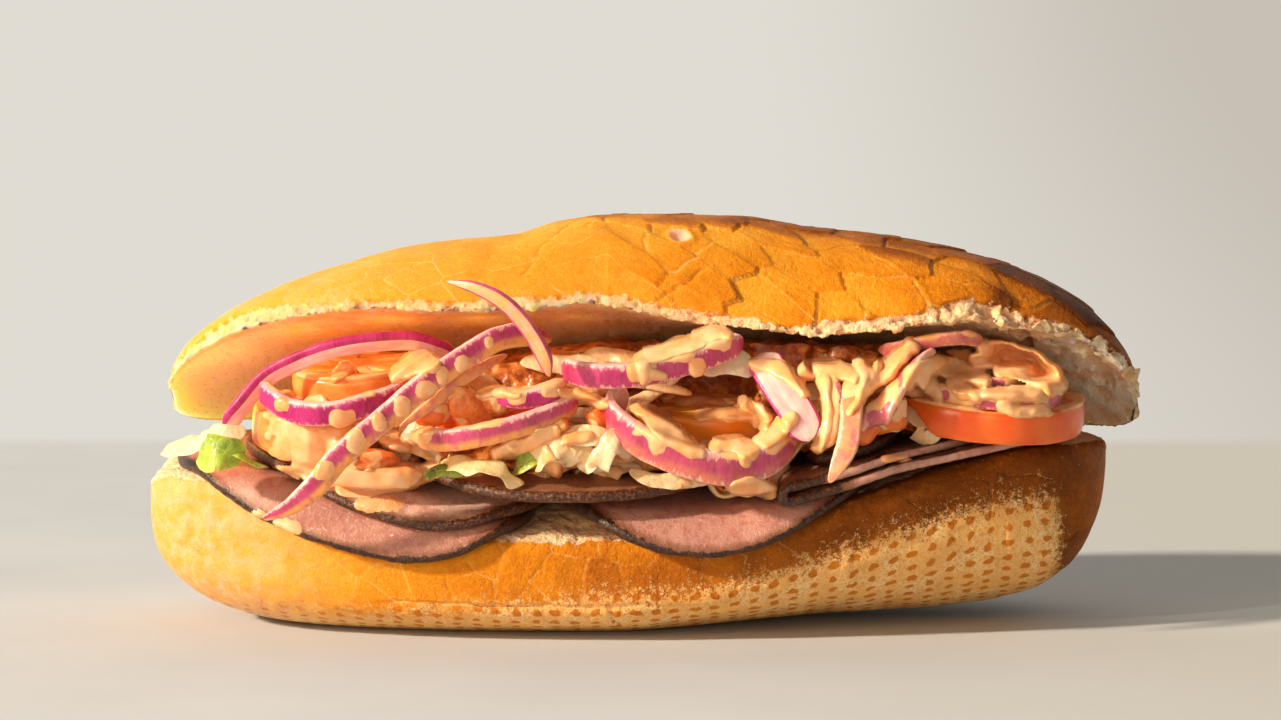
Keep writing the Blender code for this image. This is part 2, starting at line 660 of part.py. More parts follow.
def strip_frames(points, up):
    """Unit vectors along the slice's axis and across the strip at each point."""
    along = np.gradient(points, axis=0)
    along /= np.linalg.norm(along, axis=1)[:, None]
    axis = np.asarray(up, float) / np.linalg.norm(up)
    tall = axis - (along @ axis)[:, None] * along
    tall /= np.linalg.norm(tall, axis=1)[:, None]
    return tall, np.cross(along, tall)


def make_strip(name, look, points, tall, deep, up, into, grow=0.0):
    """A six-sided section swept along its curve, thinner at both ends."""
    count = max(2 * len(points) - 1, SHORTEST_STRIP)
    line = curve_points(points, count)
    if grow:
        line[0] += (line[0] - line[1]) / np.linalg.norm(line[0] - line[1]) * grow
        line[-1] += (line[-1] - line[-2]) / np.linalg.norm(line[-1] - line[-2]) * grow
    height, side = strip_frames(line, up)
    outline = ((-1, -0.72), (0, -1), (1, -0.72), (1, 0.72), (0, 1), (-1, 0.72))
    sections = []
    for i, centre in enumerate(line):
        taper = 0.45 + 0.55 * math.sin(math.pi * (0.08 + 0.84 * i / (count - 1))) ** 0.5
        h, w = taper * tall / 2 + grow, taper * deep / 2 + grow
        sections.append([centre + height[i] * h * a + side[i] * w * b for a, b in outline])
    return add_mesh(name, *loft(sections), look, into)


def make_leaf(name, centre, size, turns, into, rows=8, cols=6, thickness=0.8):
    """A small wavy leaf."""
    turn = rotation("Z", turns[2]) @ rotation("Y", turns[1]) @ rotation("X", turns[0])
    lower, upper = [], []
    for u in np.linspace(-1, 1, rows):
        width = 0.35 + 0.65 * math.cos(u * 1.25)
        low_row, high_row = [], []
        for v in np.linspace(-1, 1, cols):
            wave = 0.7 * math.sin(4.2 * u + 2.0 * v) + 0.5 * math.sin(3.1 * v - u)
            base = np.array([u * size[0] / 2, v * width * size[1] / 2, wave])
            low_row.append(turn @ base + centre)
            high_row.append(turn @ (base + (0, 0, thickness)) + centre)
        lower.append(low_row)
        upper.append(high_row)
    return add_mesh(name, *slab(lower, upper), LETTUCE, into)


# ---------------------------------------------------------------- the salad heap


def salad_section(x, n_side, n_front):
    """Closed outline of the heap at x, between the beef and the top half."""
    along = (2 * x - SALAD_SPAN[0] - SALAD_SPAN[1]) / (SALAD_SPAN[1] - SALAD_SPAN[0])
    end = end_scale(np.clip(along, -1, 1), 3.0)
    lift = along_table(x, SALAD_LIFT)
    ys = np.linspace(SALAD_DEPTH[0] - 1.0, SALAD_DEPTH[1] + 4.0, 53)
    low = np.array([bottom_cut_z(x, y) + lift for y in ys])
    high = np.minimum([top_cut_z(x, y) - 1.0 for y in ys], along_table(x, SALAD_TOP))
    roomy = ys[(high - low) > 3.0]
    back = min(roomy.max(), SALAD_DEPTH[1] - 12.0 * (1 - end))
    front = SALAD_DEPTH[0] + 13.0 * (1 - end)
    middle = (back + front) / 2
    y_back = middle + (back - middle) * end
    y_front = middle + (front - middle) * end
    points = [(y, float(np.interp(y, ys, low))) for y in np.linspace(y_back, y_front, n_side)]
    top_front = y_front + SALAD_LEAN * end
    z0 = float(np.interp(y_front, ys, low))
    z1 = float(np.interp(top_front, ys, high))
    for share in np.linspace(0, 1, n_front + 2)[1:-1]:
        bump = SALAD_BUMPS[0] * noise.noise(Vector((x / BUMP_PITCH, share * 3.4, 3.7)))
        out = bump * math.sin(math.pi * share) * end
        points.append((y_front + (top_front - y_front) * share**0.8 - out, z0 + (z1 - z0) * share))
    for y in np.linspace(top_front, y_back, n_side):
        dip = SALAD_BUMPS[1] * abs(noise.noise(Vector((x / BUMP_PITCH, y / BUMP_PITCH, 1.2))))
        points.append((y, float(np.interp(y, ys, high)) - dip))
    level = float(np.interp(middle, ys, (low + high) / 2))
    return [(y, level + (z - level) * end**0.6) for y, z in points]


def make_heap(into):
    """The heap's core, with a section wherever its clearance over the beef changes."""
    sections = []
    middle, half = sum(SALAD_SPAN) / 2, (SALAD_SPAN[1] - SALAD_SPAN[0]) / 2
    edges = [row[0] for row in SALAD_LIFT if abs(row[0] - middle) < half - 2]
    for x in sorted([middle + half * s for s in stations(SALAD_STATIONS)[1:-1]] + edges):
        sections.append([(x, y, z) for y, z in salad_section(x, 4, 6)])
    return add_mesh("salad", *loft(sections), SALAD, into)


def largest_piece(obj):
    """Drops the loose scraps that the cuts leave."""
    shape = bmesh.new()
    shape.from_mesh(obj.data)
    left, groups = set(shape.verts), []
    while left:
        stack, group = [left.pop()], set()
        while stack:
            v = stack.pop()
            group.add(v)
            for edge in v.link_edges:
                other = edge.other_vert(v)
                if other in left:
                    left.remove(other)
                    stack.append(other)
        groups.append(group)
    biggest = max(groups, key=len)
    bmesh.ops.delete(shape, geom=[v for v in shape.verts if v not in biggest], context="VERTS")
    shape.to_mesh(obj.data)
    shape.free()


def combine(obj, others, operation):
    """Joins the collection of others to obj, or cuts them out of it, and removes them."""
    modifier = obj.modifiers.new(operation, "BOOLEAN")
    modifier.operation = operation
    modifier.operand_type = "COLLECTION"
    modifier.collection = others
    modifier.solver = "EXACT"
    graph = bpy.context.evaluated_depsgraph_get()
    made = bpy.data.meshes.new_from_object(obj.evaluated_get(graph))
    obj.modifiers.clear()
    obj.data = made
    for other in list(others.objects):
        bpy.data.objects.remove(other)
    bpy.data.collections.remove(others)


def make_salad(into):
    """The heap with its shreds and drizzles, cut clear of what lies in it and under it."""
    salad = make_heap(into)
    bits = collection("bits")
    for name, strip in SALAD_BITS.items():
        make_strip("salad_" + name, SALAD, **strip, into=bits)
    combine(salad, bits, "UNION")
    cutters = collection("cutters")
    for name, place in TOMATOES.items():
        make_tomato("cut_" + name, *place, into=cutters, grow=GAP)
    for name, strip in ONIONS.items():
        make_strip("cut_" + name, ONION, **strip, into=cutters, grow=GAP)
    for name, place in BEEF_SLICES.items():
        make_beef_slice("cut_" + name, **place, into=cutters, grow=GAP)
    combine(salad, cutters, "DIFFERENCE")
    largest_piece(salad)


def main():
    clear_scene()
    sub = collection("roast_beef_sub")
    make_roll_bottom(sub)
    make_roll_top(sub)
    for name, place in BEEF_SLICES.items():
        make_beef_slice(name, **place, into=sub)
    make_folded_slice("beef_5", **FOLDED_BEEF, into=sub)
    for name, place in TOMATOES.items():
        make_tomato(name, *place, into=sub)
    for name, strip in ONIONS.items():
        make_strip(name, ONION, **strip, into=sub)
    for name, place in LEAVES.items():
        make_leaf(name, *place, into=sub)
    make_salad(sub)


main()
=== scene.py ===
"""Looks of the roast beef sub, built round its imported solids.

Lengths are in millimetres of a working frame until a mesh is made: +X runs along the roll, the
mouth opens towards -Y and +Z is up. The forms repeat those of the solids with fine relief.
"""

import math

import bpy
import numpy as np
from mathutils import Matrix, Vector
from mathutils.bvhtree import BVHTree


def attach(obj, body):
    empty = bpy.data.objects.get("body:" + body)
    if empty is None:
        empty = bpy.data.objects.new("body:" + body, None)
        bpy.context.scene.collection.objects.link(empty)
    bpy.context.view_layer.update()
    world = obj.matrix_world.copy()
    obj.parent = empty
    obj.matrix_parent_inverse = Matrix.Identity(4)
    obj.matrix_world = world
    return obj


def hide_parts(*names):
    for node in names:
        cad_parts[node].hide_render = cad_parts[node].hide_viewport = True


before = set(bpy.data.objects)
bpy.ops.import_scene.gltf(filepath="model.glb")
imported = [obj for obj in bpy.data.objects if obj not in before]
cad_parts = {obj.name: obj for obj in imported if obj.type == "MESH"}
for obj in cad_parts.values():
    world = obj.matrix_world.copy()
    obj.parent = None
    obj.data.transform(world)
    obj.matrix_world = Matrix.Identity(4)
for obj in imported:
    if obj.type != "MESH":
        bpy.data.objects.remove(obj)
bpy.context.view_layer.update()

MM = 0.001
SHIFT = np.array((0.3, 5.54, 0.0))  # from the working frame to the part's own

# ---------------------------------------------------------------- noise


def hashed(lattice, seed):
    """A number from 0 to 1 for each whole-numbered place."""
    h = lattice.astype(np.int64) @ np.array((374761393, 668265263, 1274126177)) + seed * 362437
    for factor in (1103515245, 1597334677, 812015489):
        h = (h ^ (h >> 15)) & 0x7FFFFFFF
        h = (h * factor) & 0x7FFFFFFF
    return (h ^ (h >> 13)) / 0x7FFFFFFF


def noise(p, size, seed=0, octaves=1):
    """Smooth noise from -1 to 1 whose lumps are about size apart."""
    total, weight = 0.0, 0.0
    for octave in range(octaves):
        q = np.asarray(p, float) * (2**octave / size)
        base = np.floor(q)
        f = q - base
        f = f * f * (3 - 2 * f)
        value = 0.0
        for corner in np.ndindex(2, 2, 2):
            share = np.prod(np.where(corner, f, 1 - f), axis=-1)
            value = value + share * hashed(base + corner, seed + 17 * octave)
        total = total + (2 * value - 1) * 0.5**octave
        weight += 0.5**octave
    return total / weight


def flakes(u, v, seed, groups=3):
    """Voronoi cells over the plane (u, v), joined where neighbours share a group: the distance
    to the edge of the own group, its level from 0 to 1, and the offset from the cell's middle."""
    q = np.stack([u, v], -1)
    base = np.floor(q)
    sites, levels = [], []
    for offset in np.ndindex(3, 3):
        cell = base + offset - 1
        key = np.concatenate([cell, np.zeros_like(cell[..., :1])], -1)
        jitter = np.stack([hashed(key, seed), hashed(key, seed + 1)], -1)
        sites.append(cell + 0.05 + 0.9 * jitter)
        levels.append(np.floor(hashed(key, seed + 2) * 0.9999 * groups) / (groups - 1))
    sites, levels = np.array(sites), np.array(levels)
    nearest = np.linalg.norm(sites - q, axis=-1).argmin(0)[None]
    own = np.take_along_axis(sites, nearest[..., None], 0)[0]
    level = np.take_along_axis(levels, nearest, 0)[0]
    edge = np.full(u.shape, 9.0)
    for site, other in zip(sites, levels):
        apart = site - own
        length = np.maximum(np.linalg.norm(apart, axis=-1), 1e-6)
        distance = (((site + own) / 2 - q) * apart).sum(-1) / length
        edge = np.where(np.abs(other - level) > 0.01, np.minimum(edge, distance), edge)
    return edge, level, q - own


def smooth(x, low=0.0, high=1.0):
    """0 below low, 1 above high and a smooth step between."""
    t = np.clip((np.asarray(x, float) - low) / (high - low), 0, 1)
    return t * t * (3 - 2 * t)


def bump_at(x, centre, width):
    """A bell of height 1 round centre."""
    return np.exp(-(((x - centre) / width) ** 2))


# ---------------------------------------------------------------- meshes


def ring_faces(rows, cols):
    """Quads of a tube of rows rings, and triangles that close its ends on two extra points."""
    i, j = np.arange(rows - 1)[:, None], np.arange(cols)[None]
    k = (j + 1) % cols
    quads = np.stack([i * cols + j, i * cols + k, (i + 1) * cols + k, (i + 1) * cols + j], -1)
    j, k, last, tip = j[0], k[0], (rows - 1) * cols, np.full(cols, rows * cols)
    ends = np.stack([k, j, tip], -1), np.stack([last + j, last + k, tip + 1], -1)
    return quads.reshape(-1, 4), np.concatenate(ends)


def turned_out(points, quads, triangles):
    """The faces of a closed body, turned so that they point out."""
    split = np.concatenate([quads[:, [0, 1, 2]], quads[:, [0, 2, 3]], triangles])
    a, b, c = (points[split[:, n]] for n in range(3))
    turn = -1 if (a * np.cross(b, c)).sum() < 0 else 1
    return quads[:, ::turn], triangles[:, ::turn]


def make_mesh(name, points, quads, triangles, attributes, material):
    """A smooth-shaded object with its faces pointing out, from points in millimetres."""
    quads, triangles = turned_out(points, quads, triangles)
    mesh = bpy.data.meshes.new(name)
    mesh.vertices.add(len(points))
    mesh.vertices.foreach_set("co", ((points + SHIFT) * MM).astype(np.float32).ravel())
    corners = np.concatenate([quads.ravel(), triangles.ravel()])
    starts = np.concatenate([np.arange(len(quads)) * 4, quads.size + np.arange(len(triangles)) * 3])
    mesh.loops.add(len(corners))
    mesh.loops.foreach_set("vertex_index", corners.astype(np.int32))
    mesh.polygons.add(len(starts))
    mesh.polygons.foreach_set("loop_start", starts.astype(np.int32))
    mesh.update(calc_edges=True)
    mesh.shade_smooth()
    for key, values in attributes.items():
        values = np.asarray(values, np.float32)
        kind, field = ("FLOAT", "value") if values.ndim == 1 else ("FLOAT_VECTOR", "vector")
        mesh.attributes.new(key, kind, "POINT").data.foreach_set(field, values.ravel())
    mesh.materials.append(material)
    obj = bpy.data.objects.new(name, mesh)
    bpy.context.scene.collection.objects.link(obj)
    return obj


def grid_normals(grid):
    """Unit normals of a grid of rings of points, pointing out."""
    across = np.roll(grid, -1, axis=1) - np.roll(grid, 1, axis=1)
    normal = np.cross(np.gradient(grid, axis=0), across)
    normal = normal / np.maximum(np.linalg.norm(normal, axis=-1, keepdims=True), 1e-9)
    return normal * np.sign(((grid - grid.mean(axis=1, keepdims=True)) * normal).sum())


def tube_parts(grid, attributes):
    """Points, quads, triangles and fields of a closed body from rings of points."""
    rows, cols = grid.shape[:2]
    points = np.concatenate([grid.reshape(-1, 3), grid[[0, -1]].mean(axis=1)])
    fields = {}
    for key, values in attributes.items():
        flat = values.reshape(rows * cols, *values.shape[2:])
        fields[key] = np.concatenate([flat, values[[0, -1]].mean(axis=1)])
    return points, *turned_out(points - points.mean(0), *ring_faces(rows, cols)), fields


def tube(name, grid, attributes, material):
    return make_mesh(name, *tube_parts(grid, attributes), material)


def joined(name, bodies, material):
    """One object from many (grid, attributes) bodies."""
    parts, shift = [], 0
    for grid, attributes in bodies:
        points, quads, triangles, fields = tube_parts(grid, attributes)
        parts.append((points, quads + shift, triangles + shift, fields))
        shift += len(points)
    points, quads, triangles = (np.concatenate([part[n] for part in parts]) for n in range(3))
    fields = {key: np.concatenate([part[3][key] for part in parts]) for key in parts[0][3]}
    return make_mesh(name, points, quads, triangles, fields, material)


def run_length(points):
    """Length run along a line of points up to each of them."""
    return np.concatenate([[0], np.cumsum(np.linalg.norm(np.diff(points, axis=0), axis=1))])


def resample(outline, breaks, counts):
    """A closed outline with counts[i] evenly spaced points from breaks[i] to the next break."""
    parts = []
    for start, stop, count in zip(breaks, breaks[1:], counts):
        piece = outline[start:stop + 1]
        run = run_length(piece)
        even = np.linspace(0, run[-1], count, endpoint=False)
        parts.append(np.stack([np.interp(even, run, piece[:, k]) for k in range(piece.shape[1])], 1))
    return np.concatenate(parts)


# ---------------------------------------------------------------- materials


class Shader:
    """A material on a Principled BSDF, with short calls that add nodes."""

    def __init__(self, name, **sockets):
        self.material = bpy.data.materials.new(name)
        self.material.use_nodes = True
        self.tree = self.material.node_tree
        self.set(**sockets)

    def set(self, **sockets):
        """Sets the shader's sockets, named with underscores, to values or links them."""
        for key, value in sockets.items():
            self.plug(self.tree.nodes["Principled BSDF"], key.replace("_", " "), value)

    def plug(self, node, key, value):
        if isinstance(value, bpy.types.NodeSocket):
            self.tree.links.new(value, node.inputs[key])
        else:
            node.inputs[key].default_value = value

    def node(self, kind, inputs, **settings):
        node = self.tree.nodes.new("ShaderNode" + kind)
        for key, value in settings.items():
            setattr(node, key, value)
        for key, value in inputs.items():
            self.plug(node, key, value)
        return node

    def field(self, name, output="Fac"):
        return self.node("Attribute", {}, attribute_name=name).outputs[output]

    def parts(self, vector):
        """The three numbers of a vector, or of the field with a name."""
        if isinstance(vector, str):
            vector = self.field(vector, "Vector")
        return self.node("SeparateXYZ", {0: vector}).outputs

    def vector(self, *parts):
        return self.node("CombineXYZ", dict(enumerate(parts))).outputs[0]

    def place(self, stretch=(1, 1, 1)):
        """Object coordinates in millimetres, squeezed along each axis."""
        inputs = {0: self.node("TexCoord", {}).outputs["Object"], 1: tuple(1000.0 * k for k in stretch)}
        return self.node("VectorMath", inputs, operation="MULTIPLY").outputs[0]

    def noise(self, size, detail=2.0, vector=None, rough=0.5, output="Fac"):
        inputs = {"Vector": vector or self.place(), "Scale": 1 / size, "Detail": detail, "Roughness": rough}
        return self.node("TexNoise", inputs).outputs[output]

    def dots(self, size, feature="F1"):
        """Distance from the nearest of scattered points, in units of size."""
        inputs = {"Vector": self.place(), "Scale": 1 / size}
        return self.node("TexVoronoi", inputs, feature=feature).outputs["Distance"]

    def math(self, operation, a, b=0.0, c=0.0):
        return self.node("Math", {0: a, 1: b, 2: c}, operation=operation).outputs[0]

    def add(self, a, b):
        return self.math("ADD", a, b)

    def minus(self, a, b):
        return self.math("SUBTRACT", a, b)

    def times(self, a, b):
        return self.math("MULTIPLY", a, b)

    def over(self, a, b):
        return self.math("DIVIDE", a, b)

    def scaled(self, value, factor, offset):
        return self.math("MULTIPLY_ADD", value, factor, offset)

    def step(self, value, low, high, to_low=0.0, to_high=1.0):
        """Maps low..high smoothly to to_low..to_high."""
        inputs = {"Value": value, "From Min": low, "From Max": high, "To Min": to_low, "To Max": to_high}
        return self.node("MapRange", inputs, interpolation_type="SMOOTHSTEP").outputs["Result"]

    def ramp(self, value, *stops):
        """Colours at places from 0 to 1."""
        node = self.node("ValToRGB", {"Fac": value})
        elements = node.color_ramp.elements
        while len(elements) < len(stops):
            elements.new(0.5)
        for element, (place, colour) in zip(elements, stops):
            element.position, element.color = place, (*colour, 1)
        return node.outputs["Color"]

    def mix(self, share, a, b):
        a, b = ((*value, 1) if isinstance(value, tuple) else value for value in (a, b))
        return self.node("Mix", {0: share, 6: a, 7: b}, data_type="RGBA").outputs[2]

    def relief(self, *layers):
        """Bump from (height, depth in millimetres) layers."""
        normal = {}
        for height, depth in layers:
            inputs = {"Height": height, "Distance": depth * MM, "Strength": 1.0, **normal}
            normal = {"Normal": self.node("Bump", inputs).outputs["Normal"]}
        self.set(Normal=normal["Normal"])

    def finish(self, colour, rough, weight, radius, *layers, scale=MM):
        """Sets a slightly translucent surface with its relief, and gives the material."""
        self.set(
            Base_Color=colour, Roughness=rough, Subsurface_Weight=weight, Subsurface_Scale=scale,
            Subsurface_Radius=radius,
        )
        self.relief(*layers)
        return self.material


FLOURED = (0.92, 0.565, 0.42)
CRUST_TONES = (  # from flour over dough to dark toast
    (0.0, FLOURED), (0.25, (0.86, 0.385, 0.034)), (0.45, (0.74, 0.25, 0.007)),
    (0.63, (0.46, 0.125, 0.006)), (0.8, (0.23, 0.058, 0.004)), (1.0, (0.08, 0.020, 0.003)),
)
# Pale specks and crack lines, the lines partly a painted highlight on lit flake edges, and the dark colour of
# painted shade in cracks, tears and creases
PALE_MARK_AND_PAINTED_HIGHLIGHT, PAINTED_CRACK_SHADE = (0.92, 0.62, 0.22), (0.26, 0.065, 0.006)
TRAY_GROUND, TRAY_TOASTED, TRAY_WEB = (0.90, 0.50, 0.16), (0.72, 0.30, 0.05), (0.96, 0.78, 0.46)
TRAY_DOT = (0.62, 0.20, 0.02)
# Crumb: white, with a painted glow, and the painted shade of its pores
WHITE_CRUMB, PAINTED_GLOW_CRUMB, PAINTED_PORE_SHADE = (0.98, 0.84, 0.64), (1.0, 0.77, 0.54), (0.62, 0.32, 0.10)


def bread_material():
    """Crust, cut crumb, cracks between flakes, flour and the marks of a perforated tray. The cracks
    carry pale lines, partly painted highlight, and dark lines of painted shade; the pores are darkened
    with painted shade and the crumb takes a painted glow. The fields toast, crack, line, rim, glow,
    flour and tray are given with the mesh."""
    s = Shader("bread", Specular_IOR_Level=0.09)
    blotch, grain, fine = s.noise(7.0, 4), s.noise(1.2, 3, rough=0.6), s.noise(0.35, 2)
    toast = s.field("toast")
    for mottle, amount in ((blotch, 0.30), (grain, 0.26), (fine, 0.16)):
        toast = s.add(toast, s.scaled(mottle, amount, -amount / 2))
    crust = s.ramp(toast, *CRUST_TONES)
    crust = s.mix(s.step(s.dots(1.9), 0.14, 0.05, 0, 0.3), crust, PALE_MARK_AND_PAINTED_HIGHLIGHT)
    crack, line = s.field("crack"), s.field("line")
    # Pale lines along the cracks: partly a painted highlight where flake edges catch the light
    pale_line_and_painted_highlight = s.times(s.step(crack, 0.28, 0.10), line)
    broken = s.step(s.noise(3.0, 4), 0.40, 0.58, 0.15, 1.0)
    crust = s.mix(s.times(pale_line_and_painted_highlight, broken), crust, PALE_MARK_AND_PAINTED_HIGHLIGHT)
    # Dark lines in the cracks, tears and creases: painted shade
    deep = s.minus(line, s.step(blotch, 0.4, 0.6, 0.85, 0.45))
    crust = s.mix(s.times(s.step(crack, 0.14, 0.03), s.step(deep, 0.0, 0.5)), crust, PAINTED_CRACK_SHADE)

    tray = s.parts("tray")
    stray = s.parts(s.noise(2.5, 1.0, output="Color"))
    places = [s.add(tray[n], s.scaled(stray[n], 0.55, -0.275)) for n in (0, 1)]
    off_row, off_column = (s.minus(s.math("FRACT", place), 0.5) for place in places)
    square = s.add(s.times(off_row, off_row), s.times(off_column, off_column))
    dot = s.step(s.add(square, s.scaled(grain, 0.10, -0.05)), 0.085, 0.035)
    lace = s.add(s.times(fine, 0.6), s.times(grain, 0.7))
    pressed = s.step(s.add(tray[2], s.scaled(lace, 1.9, -1.23)), 0.26, 0.74)
    ground = s.mix(s.step(lace, 0.60, 0.76, 0, 0.5), TRAY_GROUND, TRAY_TOASTED)
    web = s.step(s.dots(1.1, "DISTANCE_TO_EDGE"), 0.16, 0.04)
    ground = s.mix(s.times(web, s.step(blotch, 0.4, 0.6, 0.1, 0.6)), ground, TRAY_WEB)
    crust = s.mix(pressed, crust, s.mix(dot, ground, TRAY_DOT))
    flour = s.times(s.field("flour"), s.step(s.noise(2.4, 5, rough=0.75), 0.34, 0.72))
    crust = s.mix(flour, crust, FLOURED)

    # Painted glow: where glow rises the crumb turns a bright warm orange, past 1 near white, for light let
    # through the thin crust; glow also deepens the real translucency
    glow = s.field("glow")
    open_crumb = s.ramp(
        s.noise(2.4, 5, rough=0.65),
        (0.3, (0.88, 0.45, 0.19)), (0.5, (0.94, 0.58, 0.33)), (0.7, (0.97, 0.72, 0.50)),
    )
    painted_glow_warm_crumb = s.ramp(s.noise(5.0, 4), (0.3, (0.98, 0.52, 0.17)), (0.7, (0.98, 0.70, 0.42)))
    painted_glow_warm_crumb = s.mix(s.step(glow, 1.0, 2.0), painted_glow_warm_crumb, PAINTED_GLOW_CRUMB)
    crumb = s.mix(glow, s.mix(s.field("flour"), open_crumb, WHITE_CRUMB), painted_glow_warm_crumb)
    # Painted shade: darker dots for the pores
    crumb = s.mix(s.step(s.dots(1.5), 0.3, 0.12, 0, 0.4), crumb, PAINTED_PORE_SHADE)
    rim = s.add(s.field("rim"), s.scaled(s.noise(1.6, 4, rough=0.6), -3.4, 1.7))
    is_crumb = s.step(rim, 0.2, -0.2)
    wide = s.times(s.noise(0.9, 4, rough=0.65), s.step(is_crumb, 0, 1, 0.45, 1.3))
    return s.finish(
        s.mix(is_crumb, crust, crumb), s.step(is_crumb, 0, 1, 0.5, 0.85), s.step(glow, 0, 1, 0.30, 0.85),
        (3.2, 1.6, 0.35), (wide, 0.6), (grain, 0.22), (fine, 0.18), scale=s.step(glow, 0, 1, MM, 4 * MM),
    )


# ---------------------------------------------------------------- the roll's forms

BOTTOM_MID_X, BOTTOM_HALF_LENGTH, BOTTOM_HALF_DEPTH = -3.5, 99.1, 41.0
BOTTOM_RIM_SHARE, BOTTOM_BACK_RIM_Z = 0.93, 37.0
BOTTOM_TIP_Z = (22.5, 36.0)
RIM_RADIUS, FLAT_DROP = 4.2, 2.0
TOP_MID_X, TOP_HALF_LENGTH, TOP_HALF_DEPTH = 1.8, 100.2, 40.0
TOP_HINGE, TOP_TILT_DEG = (37.0, 37.5), 19.4
TOP_HOLLOW, TOP_END_DROOP = 6.5, 8.0
TOP_CROWN = (
    (-1.0, 23.5), (-0.93, 21.6), (-0.8, 21.6), (-0.65, 22.9), (-0.5, 25.2), (-0.34, 25.8),
    (-0.28, 26.4), (-0.2, 29.2), (-0.12, 30.6), (0.0, 31.2), (0.18, 31.2), (0.3, 29.5),
    (0.6, 29.4), (0.75, 30.4), (0.88, 31.4), (1.0, 31.6),
)
TOP_LIP_LIFT = (
    (-1.0, 1.5), (-0.94, 2.2), (-0.85, 3.5), (-0.6, 3.5), (-0.5, 2.7), (-0.42, 1.8), (-0.25, 2.0),
    (-0.14, 3.6), (-0.07, 3.0), (0.0, 1.5), (0.1, -0.4), (0.2, -0.7), (0.31, -1.8), (0.43, 0.0),
    (0.57, 3.2), (0.63, 5.2), (0.72, 4.7), (0.85, 6.6), (0.92, 5.8), (1.0, 3.5),
)
PLAN_POWER = 2.6  # how blunt the halves are, seen from above
RINGS = 560  # sections along a half


def along_table(s, table):
    return np.interp(s, [row[0] for row in table], [row[1] for row in table])


def end_scale(s, power):
    """1 in the middle of the roll and 0 at its tips."""
    return np.maximum(1 - np.abs(s) ** power, 0) ** (1 / power)


def stations(count):
    """Places along the roll from -1 to 1, closer together near the tips."""
    t = np.linspace(-1, 1, count)
    return (0.62 * t + 0.38 * np.sin(t * math.pi / 2))[1:-1]


def front_rim_z(x):
    return 21.5 + 10.3 * smooth(-x, 24, 94) + 16.5 * smooth(x, 8, 83)


def cut_slope(x):
    return (BOTTOM_BACK_RIM_Z - front_rim_z(x)) / (2 * BOTTOM_RIM_SHARE * BOTTOM_HALF_DEPTH)


def bottom_cut_z(x, y):
    return front_rim_z(x) + cut_slope(x) * (y + BOTTOM_RIM_SHARE * BOTTOM_HALF_DEPTH)


def bottom_frame(s):
    """Place, half-depth, rim half-depth, underside, front rim's rounding and back rim at s."""
    x = BOTTOM_MID_X + BOTTOM_HALF_LENGTH * s
    width = BOTTOM_HALF_DEPTH * end_scale(s, PLAN_POWER)
    rim = BOTTOM_RIM_SHARE * width
    tip = BOTTOM_TIP_Z[0] + (BOTTOM_TIP_Z[1] - BOTTOM_TIP_Z[0]) * (s + 1) / 2
    lifted = 3.4 * smooth(x, -10, 50) * smooth(-x, -95, -65)
    power = 6.6 + 0.4 * s
    blunt = end_scale(s, 6.0)
    under = tip * (1 - np.sqrt(1 - np.abs(s) ** power)) + lifted - FLAT_DROP * blunt
    radius = RIM_RADIUS * np.minimum(1.0, width / 14)
    front, back = (tip + (bottom_cut_z(x, y) - tip) * blunt for y in (-rim, rim))
    return x, width, rim, under, (-rim + radius, front - radius), radius, back


def bottom_outline(s):
    """Fine closed outline at s, as (y, z): cut face, front rim, under and up the back."""
    x, width, rim, under, (cy, cz), radius, back = bottom_frame(s)
    slope = math.atan(cut_slope(x))
    top = (cy - radius * math.sin(slope), cz + radius * math.cos(slope))
    t = np.linspace(0, 1, 160, endpoint=False)
    cut = np.stack([rim + (top[0] - rim) * t, back + (top[1] - back) * t], 1)
    angle = np.linspace(math.pi / 2 + slope, math.pi, 40, endpoint=False)
    arc = np.stack([cy + radius * np.cos(angle), cz + radius * np.sin(angle)], 1)
    phi = np.linspace(0, math.pi, 400)
    pinch = 1 - (1 - BOTTOM_RIM_SHARE) * np.exp(-((np.sin(phi) / 0.35) ** 2))
    line = cz + (back - cz) * (1 - np.cos(phi)) / 2
    bulge = 0.5 + 0.35 * smooth(x, -10, 40) * smooth(-x, -100, -60)
    z = np.maximum(line - (line - under) * np.sin(phi).clip(0) ** bulge, 0.0)
    crust = np.stack([-width * np.cos(phi) * pinch, z], 1)
    crust[-1] = (rim, back)
    return x, np.concatenate([cut, arc, crust])


def tilted(s, y, z):
    """Turns a point of the top half about the hinge at the back."""
    angle = math.radians(TOP_TILT_DEG - 1.9 * s)
    dy = y - TOP_HALF_DEPTH
    turned_y = TOP_HINGE[0] + dy * math.cos(angle) + z * math.sin(angle)
    return turned_y, TOP_HINGE[1] - dy * math.sin(angle) + z * math.cos(angle)


def top_cut(s, y):
    """The top half's cut face at places across it, hollowed and lifted towards its lip."""
    share = y / max(TOP_HALF_DEPTH * end_scale(s, PLAN_POWER), 1e-6)
    z = TOP_HOLLOW * end_scale(s, 4) * (1 - share**2)
    z = z + along_table(s, TOP_LIP_LIFT) * np.maximum(-share, 0) ** 1.5
    return tilted(s, y, z - TOP_END_DROOP * abs(s) ** 4)


